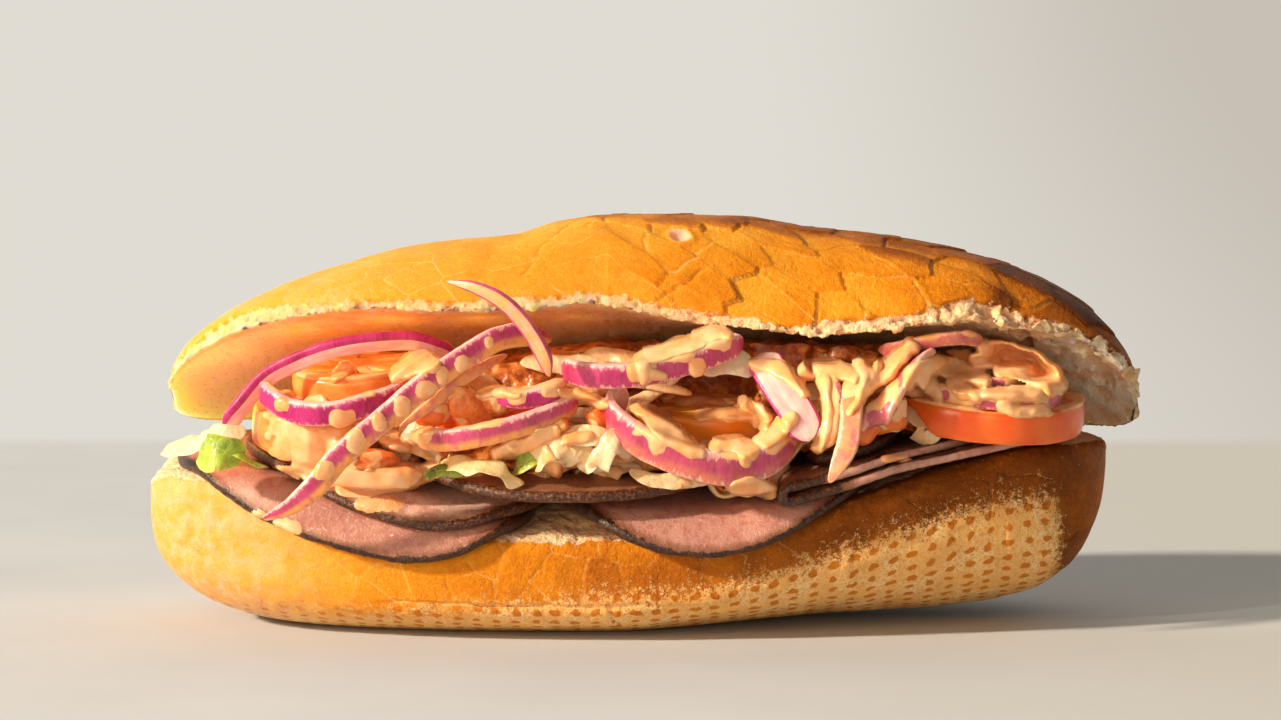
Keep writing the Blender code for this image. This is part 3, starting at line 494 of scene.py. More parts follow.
def top_outline(s):
    """Fine closed outline at s: back rim, crown, front lip and back along the cut face."""
    width = TOP_HALF_DEPTH * end_scale(s, PLAN_POWER)
    crown = along_table(s, TOP_CROWN) * end_scale(s, PLAN_POWER)
    ear = 1.6 * smooth(s, -0.35, -0.15) * smooth(-s, -0.95, -0.65)
    theta = np.linspace(0, math.pi, 400)
    c, sn = np.cos(theta), np.sin(theta).clip(0)
    base = along_table(s, TOP_LIP_LIFT) * np.maximum(-c, 0) ** 1.5
    z = base + (crown - base) * sn**0.85 + ear * bump_at(theta, 1.45, 0.14)
    crust = tilted(s, width * np.sign(c) * np.abs(c) ** 0.85, z - TOP_END_DROOP * abs(s) ** 4)
    cut = top_cut(s, -width + 2 * width * np.linspace(0, 1, 201)[1:])
    return TOP_MID_X + TOP_HALF_LENGTH * s, np.concatenate([np.stack(crust, 1), np.stack(cut, 1)])


def roll_grid(outline_at, breaks, columns, lip):
    """Rings of points along a half of the roll, each point's place s and its distance round the
    outline from the point numbered lip."""
    places, rings, rims = stations(RINGS), [], []
    for s in places:
        x, outline = outline_at(s)
        ring = resample(outline, breaks, columns)
        run = run_length(np.concatenate([ring, ring[:1]]))
        rims.append(run[:-1] - run[lip])
        rings.append(np.concatenate([np.full((len(ring), 1), x), ring], 1))
    return np.array(rings), places[:, None], np.array(rims)


def crumb_relief(grid, depth):
    """Torn, open crumb."""
    return depth * (noise(grid, 3.2, 5, 3) * 0.9 - 0.9 * smooth(noise(grid, 1.5, 9, 2), 0.05, 0.6))


def lip_beads(grid, rim):
    """Ragged crumbs along the torn edge between crust and crumb."""
    beads = np.abs(noise(grid, 1.2, 21, 2)) * 1.7 + noise(grid, 4.5, 22) * 0.7
    return beads * bump_at(rim, 0.2, 1.5)


def turned_cells(x, arc, degrees, long, short, bend, seed, groups):
    """Flakes stretched along a direction of the crust: the distance in millimetres to the edge,
    the level and how far along the flake a point lies."""
    angle = math.radians(degrees)
    u = (x * math.cos(angle) + arc * math.sin(angle)) / long + bend
    v = (arc * math.cos(angle) - x * math.sin(angle)) / short + 0.7 * bend[::-1]
    edge, level, offset = flakes(u, v, seed, groups)
    return edge * math.sqrt(long * short), level, offset[..., 0]


def torn_lines(grid, x, arc, tears, stray, octaves=1):
    """1 along tears of the crust and 0 away, each given by its ends (x, arc) and its width."""
    x, arc = (v + stray * noise(grid, 4.0, seed, octaves) for v, seed in ((x, 28), (arc, 29)))
    total = 0
    for start, stop, width in tears:
        length = math.dist(start, stop)
        along = (np.array(stop) - start) / length
        dx, dy = x - start[0], arc - start[1]
        run = np.clip(dx * along[0] + dy * along[1], 0, length)
        total = total + np.exp(-(((dx - run * along[0]) ** 2 + (dy - run * along[1]) ** 2) / width**2))
    return total


# Tears and a burst bubble in the top crust, as (x, millimetres up from the lip)
TOP_TEARS = (((-14, 27), (-24, 8), 0.3), ((-6, 30), (-12, 22), 0.25), ((12, 12), (3, 4), 0.3))
TOP_CRATER, CRATER_RADIUS = (7.0, 21.0), 2.3
# Where the browned crown starts: x and millimetres up from the lip
CROWN_START = (
    (-40, 34), (-13, 25), (11, 28.5), (36, 25), (48, 20.5), (61, 14), (73, 10), (84, 5), (96, 2),
)


def make_roll_top(material):
    columns = (56, 158, 52, 26)
    grid, s, run = roll_grid(top_outline, (0, 200, 399, 450, 599), columns, columns[0] + columns[1])
    index = np.arange(sum(columns))[None]
    arc, x = -run, grid[..., 0]
    normal = grid_normals(grid)
    fringe = 2.2 + 1.2 * noise(grid, 9.0, 23) + 1.6 * smooth(x, 50, 64) * smooth(-x, -78, -70)
    rim = arc - (fringe + 1.5 * smooth(-x, 60, 85))
    bend = 0.16 * noise(grid, 8.0, 3, 3)
    strayed = x + 16 * noise(grid, 22.0, 40, 2) * smooth(arc, 22, 45)
    right = smooth(strayed, -22, 6)
    net_edge, net_level, _ = turned_cells(x, arc, 20, 8.5, 6.5, bend, 31, 6)
    long_edge, long_level, slide = turned_cells(x, arc, -34, 12.5, 5.8, bend, 33, 4)
    crack = np.where(right > 0.5, long_edge, net_edge)
    number = np.where(right > 0.5, long_level, net_level)
    is_crust = smooth(rim, -0.3, 0.5)
    plate = (number - 0.5) * (0.08 + 0.42 * right) + right * (0.30 * slide + 0.14 * bump_at(crack, 0.5, 0.5))
    plate = plate * (1 - 0.5 * smooth(arc, 30, 60))
    relief = plate - (0.08 + 0.12 * right) * bump_at(crack, 0, 0.2) + 0.25 * noise(grid, 6.0, 8, 2)
    tears = torn_lines(grid, x, arc, TOP_TEARS, 2.0, 2)
    crater = np.hypot(x - TOP_CRATER[0], arc - TOP_CRATER[1]) / CRATER_RADIUS + 0.2 * noise(grid, 2.0, 30)
    relief += -0.5 * tears - 0.9 * smooth(-crater, -0.9, -0.3) + 0.4 * bump_at(crater, 1.1, 0.3)
    relief *= is_crust
    open_side = smooth(-np.abs(arc + 1.0), -8.0, -3.0)
    relief += (1 - is_crust) * (crumb_relief(grid, 0.35 + 0.5 * open_side) - 0.6 * smooth(arc, -1.5, 0.5))
    torn = smooth(x, 62, 76) * (1 - is_crust)
    bubbles = smooth(noise(grid, 3.4, 36, 2), 0.0, 0.4)
    relief += torn * (0.9 * noise(grid, 6.0, 35, 2) - 1.9 * bubbles)
    end_white = torn * smooth(x, 78, 88) * (1 - bubbles) * smooth(noise(grid, 5.0, 38, 2), -0.5, 0.1)
    beads = lip_beads(grid, arc) * (0.65 + 0.5 * noise(grid, 16.0, 39)) * (1 - 0.6 * smooth(-x, 60, 80))
    relief += beads * smooth(np.minimum(index, sum(columns) - index), 8, 20)
    grid = grid + normal * (relief * end_scale(s, 8))[..., None]

    crown = smooth(arc - along_table(x, CROWN_START) + 5 * (number - 0.5), -2.5, 3.0)
    toast = 0.25 + 0.06 * smooth(x, -70, -30) + 0.13 * smooth(x, -25, 30) + 0.06 * smooth(x, 20, 70)
    back = smooth(arc, 42, 72)
    browned = (1 - back) * smooth(strayed, -40, 0) + 0.6 * back * smooth(x, -110, 40)
    toast = toast + crown * browned * (0.26 + 0.10 * noise(grid, 7.0, 24, 2))
    corner = smooth(x, 66, 72) * smooth(arc, -1, 3) * (1 - back)
    toast = toast + corner * (0.24 + 0.10 * smooth(arc, 10, 20)) + 0.12 * smooth(x, 88, 96)
    toast = toast + (number - 0.5) * (0.03 + 0.06 * right + 0.18 * corner) + 0.11 * right * slide
    toast = np.minimum(toast, 0.73 + 0.22 * number + 0.08 * noise(grid, 5.0, 37))
    toast = toast - 0.35 * smooth(-crater, -1.3, -0.8) + 0.06 * smooth(arc, 14, 26) * smooth(-x, 30, 60)
    # line: how strongly the cracks show their painted highlight and painted shade; tears the most
    line = 0.34 + 0.3 * noise(grid, 14.0, 25) + 0.06 * right - 0.3 * corner - 0.5 * crown * right
    fields = {
        "toast": toast, "crack": np.minimum(crack, 0.6 * (1 - tears)), "rim": rim,
        "line": np.clip(np.maximum(line, tears), 0, 1), "tray": np.zeros(grid.shape),
        "flour": 0.3 * smooth(-x, 20, 90) * smooth(arc, 0, 10) + 0.9 * end_white,
        # glow: painted glow in the crumb's colour, and deeper translucency
        "glow": smooth(-x, -40, 30) + smooth(-x, 66, 88) * smooth(-arc, 2, 10),
    }
    return tube("roll_top_half", grid, fields, material)


BOTTOM_TEARS = (
    ((10, 29), (20, 24), 0.5), ((-5, 22), (-7, 14), 0.4), ((52, 4), (57, 9), 0.2), ((64, 3), (69, 6), 0.2),
    ((69, 6), (69, 12), 0.2), ((70, 6), (72, 4), 0.2), ((72, 4), (82, 6), 0.2),
)
CREASE_HEIGHT = 7.5
TRAY_PITCH = (3.95, 3.4)  # between the dots, along and across


def make_roll_bottom(material):
    columns = (24, 52, 16, 150, 46)
    lip = columns[0] + columns[1] + 5
    grid, s, arc = roll_grid(bottom_outline, (0, 110, 160, 200, 400, 599), columns, lip)
    normal = grid_normals(grid)
    x, height = grid[..., 0], grid[..., 2]
    rim = arc - 0.8 - 1.4 * noise(grid, 8.0, 26) + 5.0 * smooth(x, 22, 40)
    bend = 0.16 * noise(grid, 8.0, 13, 3)
    crack, number, _ = turned_cells(x, arc, 12, 9, 6.5, bend, 41, 6)
    is_crust = smooth(rim, -0.3, 0.5)
    plain = smooth(x, -75, -45) * smooth(-x, -96, -88)
    middle = smooth(x, -60, -45) * smooth(-x, -12, 6)
    below = height - CREASE_HEIGHT - 5 * bend
    crease = middle * bump_at(below, 0, 0.5) * smooth(-grid[..., 1], 0, 10)
    tears = torn_lines(grid, x, arc, BOTTOM_TEARS, 0.9)
    relief = (number - 0.5) * 0.22 * plain - 0.14 * plain * bump_at(crack, 0, 0.2)
    relief += 0.25 * noise(grid, 5.0, 18, 2) + 0.22 * noise(grid, 2.4, 19, 2) * smooth(-x, 40, 80)
    relief = is_crust * (relief - 0.5 * crease - 0.6 * tears)
    relief += (1 - is_crust) * crumb_relief(grid, 0.7) + lip_beads(grid, arc) * 0.6
    grid = grid + normal * (relief * smooth(height, 0.2, 3.0) * end_scale(s, 8))[..., None]
    grid[..., 2] = np.maximum(grid[..., 2], 0.0)

    tray_top = 6.0 + 4.0 * smooth(x, -60, 0) + 18.0 * smooth(x, 0, 80)
    tray_mask = smooth(tray_top - height, -7.0, 8.0) * smooth(-x, -88, -80) * smooth(-grid[..., 1], 0, 5)
    toast = 0.25 + 0.13 * smooth(x, -85, -45) + 0.16 * smooth(x, -20, 40) + 0.12 * smooth(x, 20, 70)
    toast = toast + 0.10 * middle * smooth(-below, 0, 1.0) + (number - 0.5) * 0.07
    toast = toast - 0.10 * smooth(x, 84, 92) + 0.17 * smooth(x, -45, -5)
    toast = toast + 0.08 * smooth(-height, -16, -5) * smooth(x, -75, -45)
    # line: how strongly the cracks show their painted highlight and painted shade; tears and the crease the
    # most
    line = plain * (0.35 + 0.4 * noise(grid, 11.0, 27)) * smooth(-x, -50, 0)
    deepest = np.maximum(tears, crease)
    fields = {
        "toast": toast, "crack": np.minimum(crack, 0.6 * (1 - deepest)), "rim": rim,
        "line": np.clip(np.maximum(line, deepest), 0, 1),
        # glow: painted glow in the crumb's colour, and deeper translucency
        "flour": 0.65 * smooth(-x, 55, 88), "glow": 0.5 * smooth(-x, -10, 70),
        "tray": np.stack([x / TRAY_PITCH[0], arc / TRAY_PITCH[1], tray_mask], -1),
    }
    return tube("roll_bottom_half", grid, fields, material)


# ---------------------------------------------------------------- the filling's materials

SAUCE, SAUCE_LIGHT, SAUCE_FILM = (0.90, 0.39, 0.13), (0.96, 0.57, 0.30), (0.90, 0.40, 0.09)
SPICE = (0.55, 0.16, 0.03)


def sauce_colour(s):
    """Sauce with soft streaks and tiny specks of spice."""
    tone = s.mix(s.step(s.noise(5.0, 3), 0.35, 0.65, 0, 0.8), SAUCE, SAUCE_LIGHT)
    return s.mix(s.step(s.dots(1.3), 0.10, 0.05, 0, 0.75), tone, SPICE)


def coated(s, colour, roughness):
    """Colour and roughness of a surface with its film and coat of sauce. The fields coat, its
    thickness, and film, how far a thin smear tints the surface, are given with the mesh."""
    film = s.times(s.field("film"), s.step(s.noise(2.2, 4), 0.30, 0.62, 0.45, 1.0))
    colour = s.mix(film, colour, SAUCE_FILM)
    coat = s.step(s.field("coat"), 0.10, 0.30)
    return s.mix(coat, colour, sauce_colour(s)), s.step(coat, 0, 1, roughness, 0.22)


def onion_material():
    """Red onion: the outer skin's side is streaked with purple, and the cut sides are white."""
    s = Shader("onion", Specular_IOR_Level=0.55)
    run, rise, outer = s.parts("strip")
    lined = s.vector(run, s.times(rise, 0.35), outer)
    streak, slow = s.noise(0.55, 3, lined, 0.7), s.noise(4.5, 2, lined)
    feather = s.minus(s.scaled(streak, 1.5, 0.22), s.math("ABSOLUTE", rise))
    skin = s.times(s.step(outer, 0.35, 0.72), s.step(feather, 0.0, 0.35))
    purple = s.ramp(
        s.scaled(streak, 0.6, s.times(slow, 0.5)),
        (0.30, (0.20, 0.004, 0.06)), (0.52, (0.48, 0.008, 0.15)), (0.78, (0.66, 0.06, 0.27)),
    )
    layer = s.noise(0.35, 2, s.vector(s.times(run, 0.05), s.times(rise, 0.6), outer))
    pale = s.mix(s.step(layer, 0.35, 0.65, 0, 0.7), (0.90, 0.63, 0.58), (0.80, 0.28, 0.34))
    bare = s.step(s.field("coat"), 0.3, 0.1)
    return s.finish(
        *coated(s, s.mix(skin, pale, purple), 0.28), 0.45, (2.6, 1.0, 0.8), (s.times(streak, bare), 0.12))


def tomato_material():
    """Slices of tomato: smooth skin, and wet flesh with seed chambers on the cut sides."""
    s = Shader("tomato", Specular_IOR_Level=0.5)
    skin, chamber, golden = s.parts("disc")
    skin_tone = s.mix(s.step(s.noise(6.0, 4), 0.3, 0.7), (0.84, 0.095, 0.008), (0.90, 0.17, 0.014))
    skin_tone = s.mix(golden, skin_tone, (0.78, 0.22, 0.012))
    flesh = s.mix(s.step(s.noise(1.4, 4), 0.35, 0.65), (0.74, 0.11, 0.02), (0.82, 0.22, 0.05))
    gel = s.mix(s.step(s.dots(2.6), 0.22, 0.12), (0.80, 0.26, 0.03), (0.90, 0.66, 0.30))
    flesh = s.mix(s.step(chamber, 0.4, 0.7), flesh, gel)
    jelly = s.ramp(
        s.noise(2.0, 5, s.place((0.25, 1.0, 1.0)), 0.65),
        (0.30, (0.55, 0.12, 0.01)), (0.45, (0.88, 0.32, 0.03)), (0.58, (0.95, 0.55, 0.10)),
        (0.70, (0.97, 0.80, 0.42)),
    )
    colour = s.mix(skin, s.mix(golden, flesh, jelly), skin_tone)
    colour = s.mix(s.step(s.dots(2.2), 0.10, 0.03, 0, 0.4), colour, (0.90, 0.30, 0.05))
    pitted = s.times(s.noise(0.8, 4), s.step(skin, 0, 1, 1.0, 0.1))
    return s.finish(*coated(s, colour, 0.22), 0.35, (3.0, 0.8, 0.3), (pitted, 0.25))


def beef_material():
    """Roast beef: pink meat with fine grain and flecks of fat, and a dark peppered rim."""
    s = Shader("beef", Specular_IOR_Level=0.5)
    grey, grain, blotch = s.field("grey"), s.noise(0.7, 4, rough=0.7), s.noise(8.0, 3)
    blotched = s.step(blotch, 0.35, 0.65)
    pink = s.mix(blotched, (0.42, 0.125, 0.09), (0.51, 0.19, 0.135))
    brown = s.mix(blotched, (0.46, 0.25, 0.155), (0.62, 0.38, 0.25))
    # Painted light: this share lightens slices that lie in shade or face away from the light
    meat = s.mix(s.field("pale"), s.mix(grey, pink, brown), (0.86, 0.56, 0.46))
    meat = s.mix(s.step(grain, 0.50, 0.72, 0, 0.5), meat, (0.78, 0.45, 0.34))
    meat = s.mix(s.step(s.noise(1.8, 3), 0.52, 0.36, 0, 0.45), meat, (0.42, 0.10, 0.075))
    fat = s.times(s.step(s.noise(3.4, 5, rough=0.7), 0.62, 0.70), s.step(grain, 0.4, 0.6))
    meat = s.mix(s.times(fat, 0.8), meat, (0.88, 0.72, 0.55))
    ragged = s.add(s.field("edge"), s.scaled(s.noise(1.6, 4, rough=0.6), -1.6, 0.8))
    meat = s.mix(s.step(ragged, 2.6, 1.1, 0, 0.9), meat, (0.24, 0.085, 0.035))
    pepper = s.scaled(grey, 0.09, s.noise(0.6, 4, rough=0.7))
    char = s.ramp(
        s.minus(pepper, 0.09),
        (0.36, (0.016, 0.006, 0.003)), (0.50, (0.085, 0.024, 0.008)), (0.66, (0.30, 0.11, 0.035)),
    )
    meat = s.mix(s.step(ragged, 1.15, 0.8), meat, char)
    fine = s.noise(0.4, 3)
    return s.finish(*coated(s, meat, 0.32), 0.2, (1.6, 0.6, 0.4), (grain, 0.14), (fine, 0.16))


def leaf_material():
    """Lettuce, from creamy white near the rib to green at the frilled edge, glazed with sauce."""
    s = Shader("leaf", Specular_IOR_Level=0.45)
    tone = s.ramp(
        s.add(s.field("green"), s.scaled(s.noise(3.0, 4), 0.3, -0.15)),
        (0.0, (0.95, 0.74, 0.54)), (0.35, (0.86, 0.80, 0.32)), (0.6, (0.42, 0.58, 0.05)),
        (0.8, (0.09, 0.17, 0.012)), (0.95, (0.03, 0.045, 0.008)),
    )
    veins = s.dots(2.4, "DISTANCE_TO_EDGE")
    tone = s.mix(s.step(veins, 0.05, 0.01, 0, 0.22), tone, (0.86, 0.86, 0.52))
    grain = s.noise(0.8, 3)
    return s.finish(*coated(s, tone, 0.32), 0.5, (1.6, 1.4, 0.5), (veins, 0.3), (grain, 0.2))


def painted_shade_heap_material():
    """What shows between the shreds: wet salad soaked with sauce, in tones from orange to near black by
    noise; the dark tones are painted shade between the pieces.
    """
    s = Shader("heap", Specular_IOR_Level=0.5)
    # Painted shade: the darkest stops stand for shade between the pieces
    tone = s.ramp(
        s.noise(2.6, 5, rough=0.65),
        (0.32, (0.18, 0.024, 0.004)), (0.48, (0.42, 0.10, 0.014)), (0.62, (0.78, 0.28, 0.06)),
        (0.78, (0.92, 0.50, 0.20)),
    )
    return s.finish(tone, 0.3, 0.4, (3.0, 1.2, 0.4), (s.noise(2.4, 2), 0.35))


def sauce_material():
    s = Shader("sauce", Specular_IOR_Level=0.6)
    return s.finish(
        sauce_colour(s), 0.16, 0.35, (2.8, 1.1, 0.4), (s.noise(2.0, 2), 0.15), scale=0.8 * MM)


# ---------------------------------------------------------------- where the photo shows a point

CAMERA_DISTANCE, CAMERA_LIFT, CAMERA_LENS, SENSOR = 720.0, math.radians(5.0), 97.2, 36.0
FORWARD = np.array((0, math.cos(CAMERA_LIFT), -math.sin(CAMERA_LIFT)))
UPWARD = np.array((0, math.sin(CAMERA_LIFT), math.cos(CAMERA_LIFT)))
EYE = np.array((-0.94, 0.0, 53.3)) - CAMERA_DISTANCE * FORWARD
PHOTO_SIZE = (1281, 720)
PIXELS_PER_RADIAN = CAMERA_LENS / SENSOR * PHOTO_SIZE[0]
PIXEL = CAMERA_DISTANCE / PIXELS_PER_RADIAN  # millimetres


def in_photo(points):
    """Pixel columns and rows of points of the working frame in the photograph."""
    ray = points - EYE
    scale = PIXELS_PER_RADIAN / (ray @ FORWARD)
    return PHOTO_SIZE[0] / 2 + ray[..., 0] * scale, PHOTO_SIZE[1] / 2 - (ray @ UPWARD) * scale


def from_photo(column, row, y):
    """The points of the working frame at depth y that the photograph shows at pixels."""
    column, row, y = np.broadcast_arrays(*(np.asarray(v, float) for v in (column, row, y)))
    ray = FORWARD + UPWARD * ((PHOTO_SIZE[1] / 2 - row) / PIXELS_PER_RADIAN)[..., None]
    ray = ray + np.array((1, 0, 0)) * ((column - PHOTO_SIZE[0] / 2) / PIXELS_PER_RADIAN)[..., None]
    return EYE + ray * ((y - EYE[1]) / ray[..., 1])[..., None]


def patch_mask(points, boxes, seed):
    """Thickness from 0 to 1 of ragged round patches, each given by its pixel columns and rows."""
    column, row = in_photo(points)
    wobble = 0.38 * noise(points, 2.8, seed, 2)
    mask = np.zeros(column.shape)
    for left, right, top, bottom in boxes:
        across = (2 * column - left - right) / (right - left)
        down = (2 * row - top - bottom) / (bottom - top)
        inside = 1 - (np.abs(across) ** 2.6 + np.abs(down) ** 2.6) ** (1 / 2.6) + wobble
        mask = np.maximum(mask, smooth(inside, -0.05, 0.45))
    return mask


def seed_of(name):
    return sum(map(ord, name))


# ---------------------------------------------------------------- beef

BEEF_THICKNESS = 2.2
BEND_RADIUS, BEND_REACH = 4.5, 7.0
SIDE_SLANT = math.radians(12)


def drape(x, t, d):
    """Points d over the bottom half's cut face, t past the start of the bend over its rim."""
    s = np.clip((x - BOTTOM_MID_X) / BOTTOM_HALF_LENGTH, -0.995, 0.995)
    cy, cz = bottom_frame(s)[4]
    slope = np.arctan(cut_slope(x))
    start, stop = math.pi / 2 + slope, math.pi - SIDE_SLANT
    bend = BEND_REACH * (stop - start)
    angle = start + (stop - start) * np.clip(t / bend, 0.0, 1.0)
    inward, past = np.maximum(-t, 0), np.maximum(t - bend, 0)
    y = cy + (BEND_RADIUS + d) * np.cos(angle) + inward * np.cos(slope) - past * math.sin(SIDE_SLANT)
    z = cz + (BEND_RADIUS + d) * np.sin(angle) + inward * np.sin(slope) - past * math.cos(SIDE_SLANT)
    return np.stack([x + 0 * y, y, z], -1)


def flat_drape(x, t, d):
    """As drape, but a stiff slice runs straight on past the rim."""
    slope = np.arctan(cut_slope(x))
    step = np.stack([0 * slope, -np.cos(slope), -np.sin(slope)], -1)
    return drape(x, np.minimum(t, 0.0), d) + np.maximum(t, 0.0)[..., None] * step


# Of each slice: its middle and half-size in x and over the rim, how high its two ends lie, how it
# drapes, how grey it is, how far painted light lightens it, and how wide its dark rind is at most
BEEF_SLICES = {
    "beef_1": ((-59.5, -14.5), (37.5, 29.0), (0.4, 0.4), drape, 0.15, 0.05, 99),
    "beef_2": ((-50.5, -17.5), (31.5, 24.5), (3.0, 3.2), drape, 0.8, 0.7, 99),
    "beef_3": ((15.5, -13.0), (33.0, 22.5), (4.2, 0.5), drape, 0.0, 0.30, 99),
    "beef_4": ((-17.0, -10.0), (29.0, 18.0), (9.0, 9.0), flat_drape, 0.9, 0.0, 1.3),
    "beef_6": ((41.0, -8.0), (9.5, 12.0), (9.9, 7.6), flat_drape, 0.3, 0.2, 99),
}
FOLDED_BEEF = dict(
    fold_x=28.6, ends=(86.0, 67.0), mid_t=-4.0, half_t=12.0, opening=(1.0, 0.3),
    under=((0.0, 4.4), (0.35, 3.0), (0.55, 1.4), (0.7, 0.6), (1.0, 0.4)),
)
SAUCE_ON_BEEF = {
    "beef_1": ((266, 300, 519, 538), (250, 268, 510, 518)),
    "beef_2": ((351, 405, 497, 513), (262, 300, 466, 486)),
    "beef_5": ((728, 775, 478, 497), (880, 915, 455, 464)),
}


def stadium(count_long, count_round):
    """Closed outline of a slice's section, as places across and through it from -1 to 1, and how
    far a place bulges past the straight part."""
    line = np.linspace(-1, 1, count_long, endpoint=False)
    turn = np.linspace(math.pi / 2, -math.pi / 2, count_round, endpoint=False)
    half = np.concatenate([
        np.stack([line, 1 + 0 * line, 0 * line], 1),
        np.stack([1 + 0 * turn, np.sin(turn), np.cos(turn)], 1),
    ])
    return np.concatenate([half, -half])


def finish_beef(name, grid, edge, grey, pale, material):
    """Adds the charred rim's swelling, the meat's roughness and the sauce to a slice's grid."""
    normal = grid_normals(grid)
    rim = smooth(-edge, -2.0, -0.8)
    relief = 0.10 * noise(grid, 5.0, 51, 2) + rim * (0.10 + 0.16 * noise(grid, 0.9, 52, 2))
    coat = patch_mask(grid, SAUCE_ON_BEEF.get(name, ()), 60) * smooth(normal[..., 2] - normal[..., 1], 0, 0.4)
    grid = grid + normal * (relief * (1 - coat) + 0.7 * coat)[..., None]
    fields = {"edge": edge, "grey": grey + 0 * edge, "pale": pale + 0 * edge}
    fields.update(coat=coat, film=0.25 * rim * coat)
    return tube(name + "_slice", grid, fields, material)


def make_beef_slice(name, mid, half, over, lay, grey, pale, rind, material):
    shape = stadium(72, 9)
    seed = seed_of(name)
    u = np.sin(np.linspace(-1, 1, 230) * math.pi / 2 * 0.985)[:, None]
    x = mid[0] + half[0] * u
    reach = half[1] * np.maximum(1 - np.abs(u) ** 2.3, 1e-4) ** 0.45
    end_gap = half[0] * (1 - np.abs(u))
    thin = np.sqrt(np.clip(1 - (1 - np.minimum(end_gap / 1.2, 1)) ** 2, 0.02, 1))
    radius = BEEF_THICKNESS / 2 * thin
    t = mid[1] + shape[:, 0] * np.maximum(reach - radius, 0.05) + shape[:, 2] * radius
    wavy = np.stack([x + 0 * t, t, 0 * t + seed], -1)
    t = t + 0.5 * noise(wavy, 9.0, seed, 2) * np.abs(shape[:, 0])
    d = over[0] + (over[1] - over[0]) * (u + 1) / 2 + BEEF_THICKNESS / 2 + radius * shape[:, 1]
    d = d + 0.25 * noise(wavy, 14.0, seed + 1)
    away = (np.abs(t - mid[1]) / half[1]) ** 2.22
    edge = (1 - (np.abs(u) ** 2.3 + away) ** (1 / 2.3)) * min(half) * 1.05
    return finish_beef(name, lay(x + 0 * t, t, d), np.clip(edge, 0, rind), grey, pale, material)


def make_folded_slice(name, fold_x, ends, mid_t, half_t, opening, under, material):
    """A slice folded in two about its left end."""
    shape = stadium(40, 9)
    turn = np.linspace(-math.pi / 2, math.pi / 2, 26)[1:-1]
    low, high = np.linspace(1, 0, 170), np.linspace(0, 1, 130)
    end, share, side, out = (np.concatenate(three)[:, None] for three in (
        (ends[0] + 0 * low, ends[0] + 0 * turn, ends[1] + 0 * high), (low, 0 * turn, high),
        (-1 + 0 * low, np.sin(turn), 1 + 0 * high), (0 * low, np.cos(turn), 0 * high),
    ))
    x = fold_x + (end - fold_x) * share
    along = (x - fold_x) / (ends[0] - fold_x)
    ply = BEEF_THICKNESS * (0.9 - 0.25 * along)
    gap = opening[0] + (opening[1] - opening[0]) * np.minimum(along * 2, 1.0)
    reach = half_t * (1 - 0.8 * share**3)
    radius = ply / 2
    t = mid_t + shape[:, 0] * (reach - radius) + shape[:, 2] * radius
    half = gap / 2 + radius + radius * shape[:, 1]
    middle = along_table(along, under) + ply + gap / 2
    d = middle + side * half + 0.2 * noise(np.stack([x + 0 * t, t, 0 * t], -1), 10.0, 77)
    grid = flat_drape(x - out * half, t, d)
    edge = np.minimum(reach - np.abs(t - mid_t), (1 - share) * 30 + 0 * t)
    cut_side = smooth(shape[:, 2], 0.35, 0.8) * smooth(share, 0.12, 0.3)
    edge = np.minimum(edge, 0.95 + 0.35 * noise(grid, 5.0, 78)) + 3.0 * cut_side
    # grey 0.4, and 0.3 of painted light that lightens the slice
    return finish_beef(name, grid, np.maximum(edge, 0), 0.4, 0.3, material)


# ---------------------------------------------------------------- tomatoes

# Of each slice: its centre, radius and thickness, how far it tilts and rolls in degrees, how far
# its jelly shows golden, and its film of sauce
TOMATOES = {
    "tomato_1": ((68.3, -16.0, 45.4), 21.1, 6.4, 7.0, 4.5, 0, 0),
    "tomato_2": ((12.2, -15.5, 44.4), 20.5, 6.0, 8.0, 1.0, 1, 0),
    "tomato_3": ((-28.3, -18.0, 47.0), 18.5, 5.5, 8.0, -2.0, 0, 0),
    "tomato_4": ((-65.0, -20.5, 41.6), 14.5, 7.4, 9.0, 5.0, 0, 0.6),
    "tomato_5": ((-58.8, -16.5, 51.4), 13.0, 4.5, 9.0, -3.0, 0, 0.6),
}
SAUCE_ON_TOMATOES = {
    "tomato_1": (
        (900, 1075, 372, 397), (912, 940, 385, 401), (955, 990, 396, 412), (1000, 1060, 396, 417),
    ),
    "tomato_2": ((690, 780, 395, 422), (655, 720, 385, 405)),
    "tomato_4": ((264, 375, 396, 475),),
}
TOMATO_BEVEL = 1.0


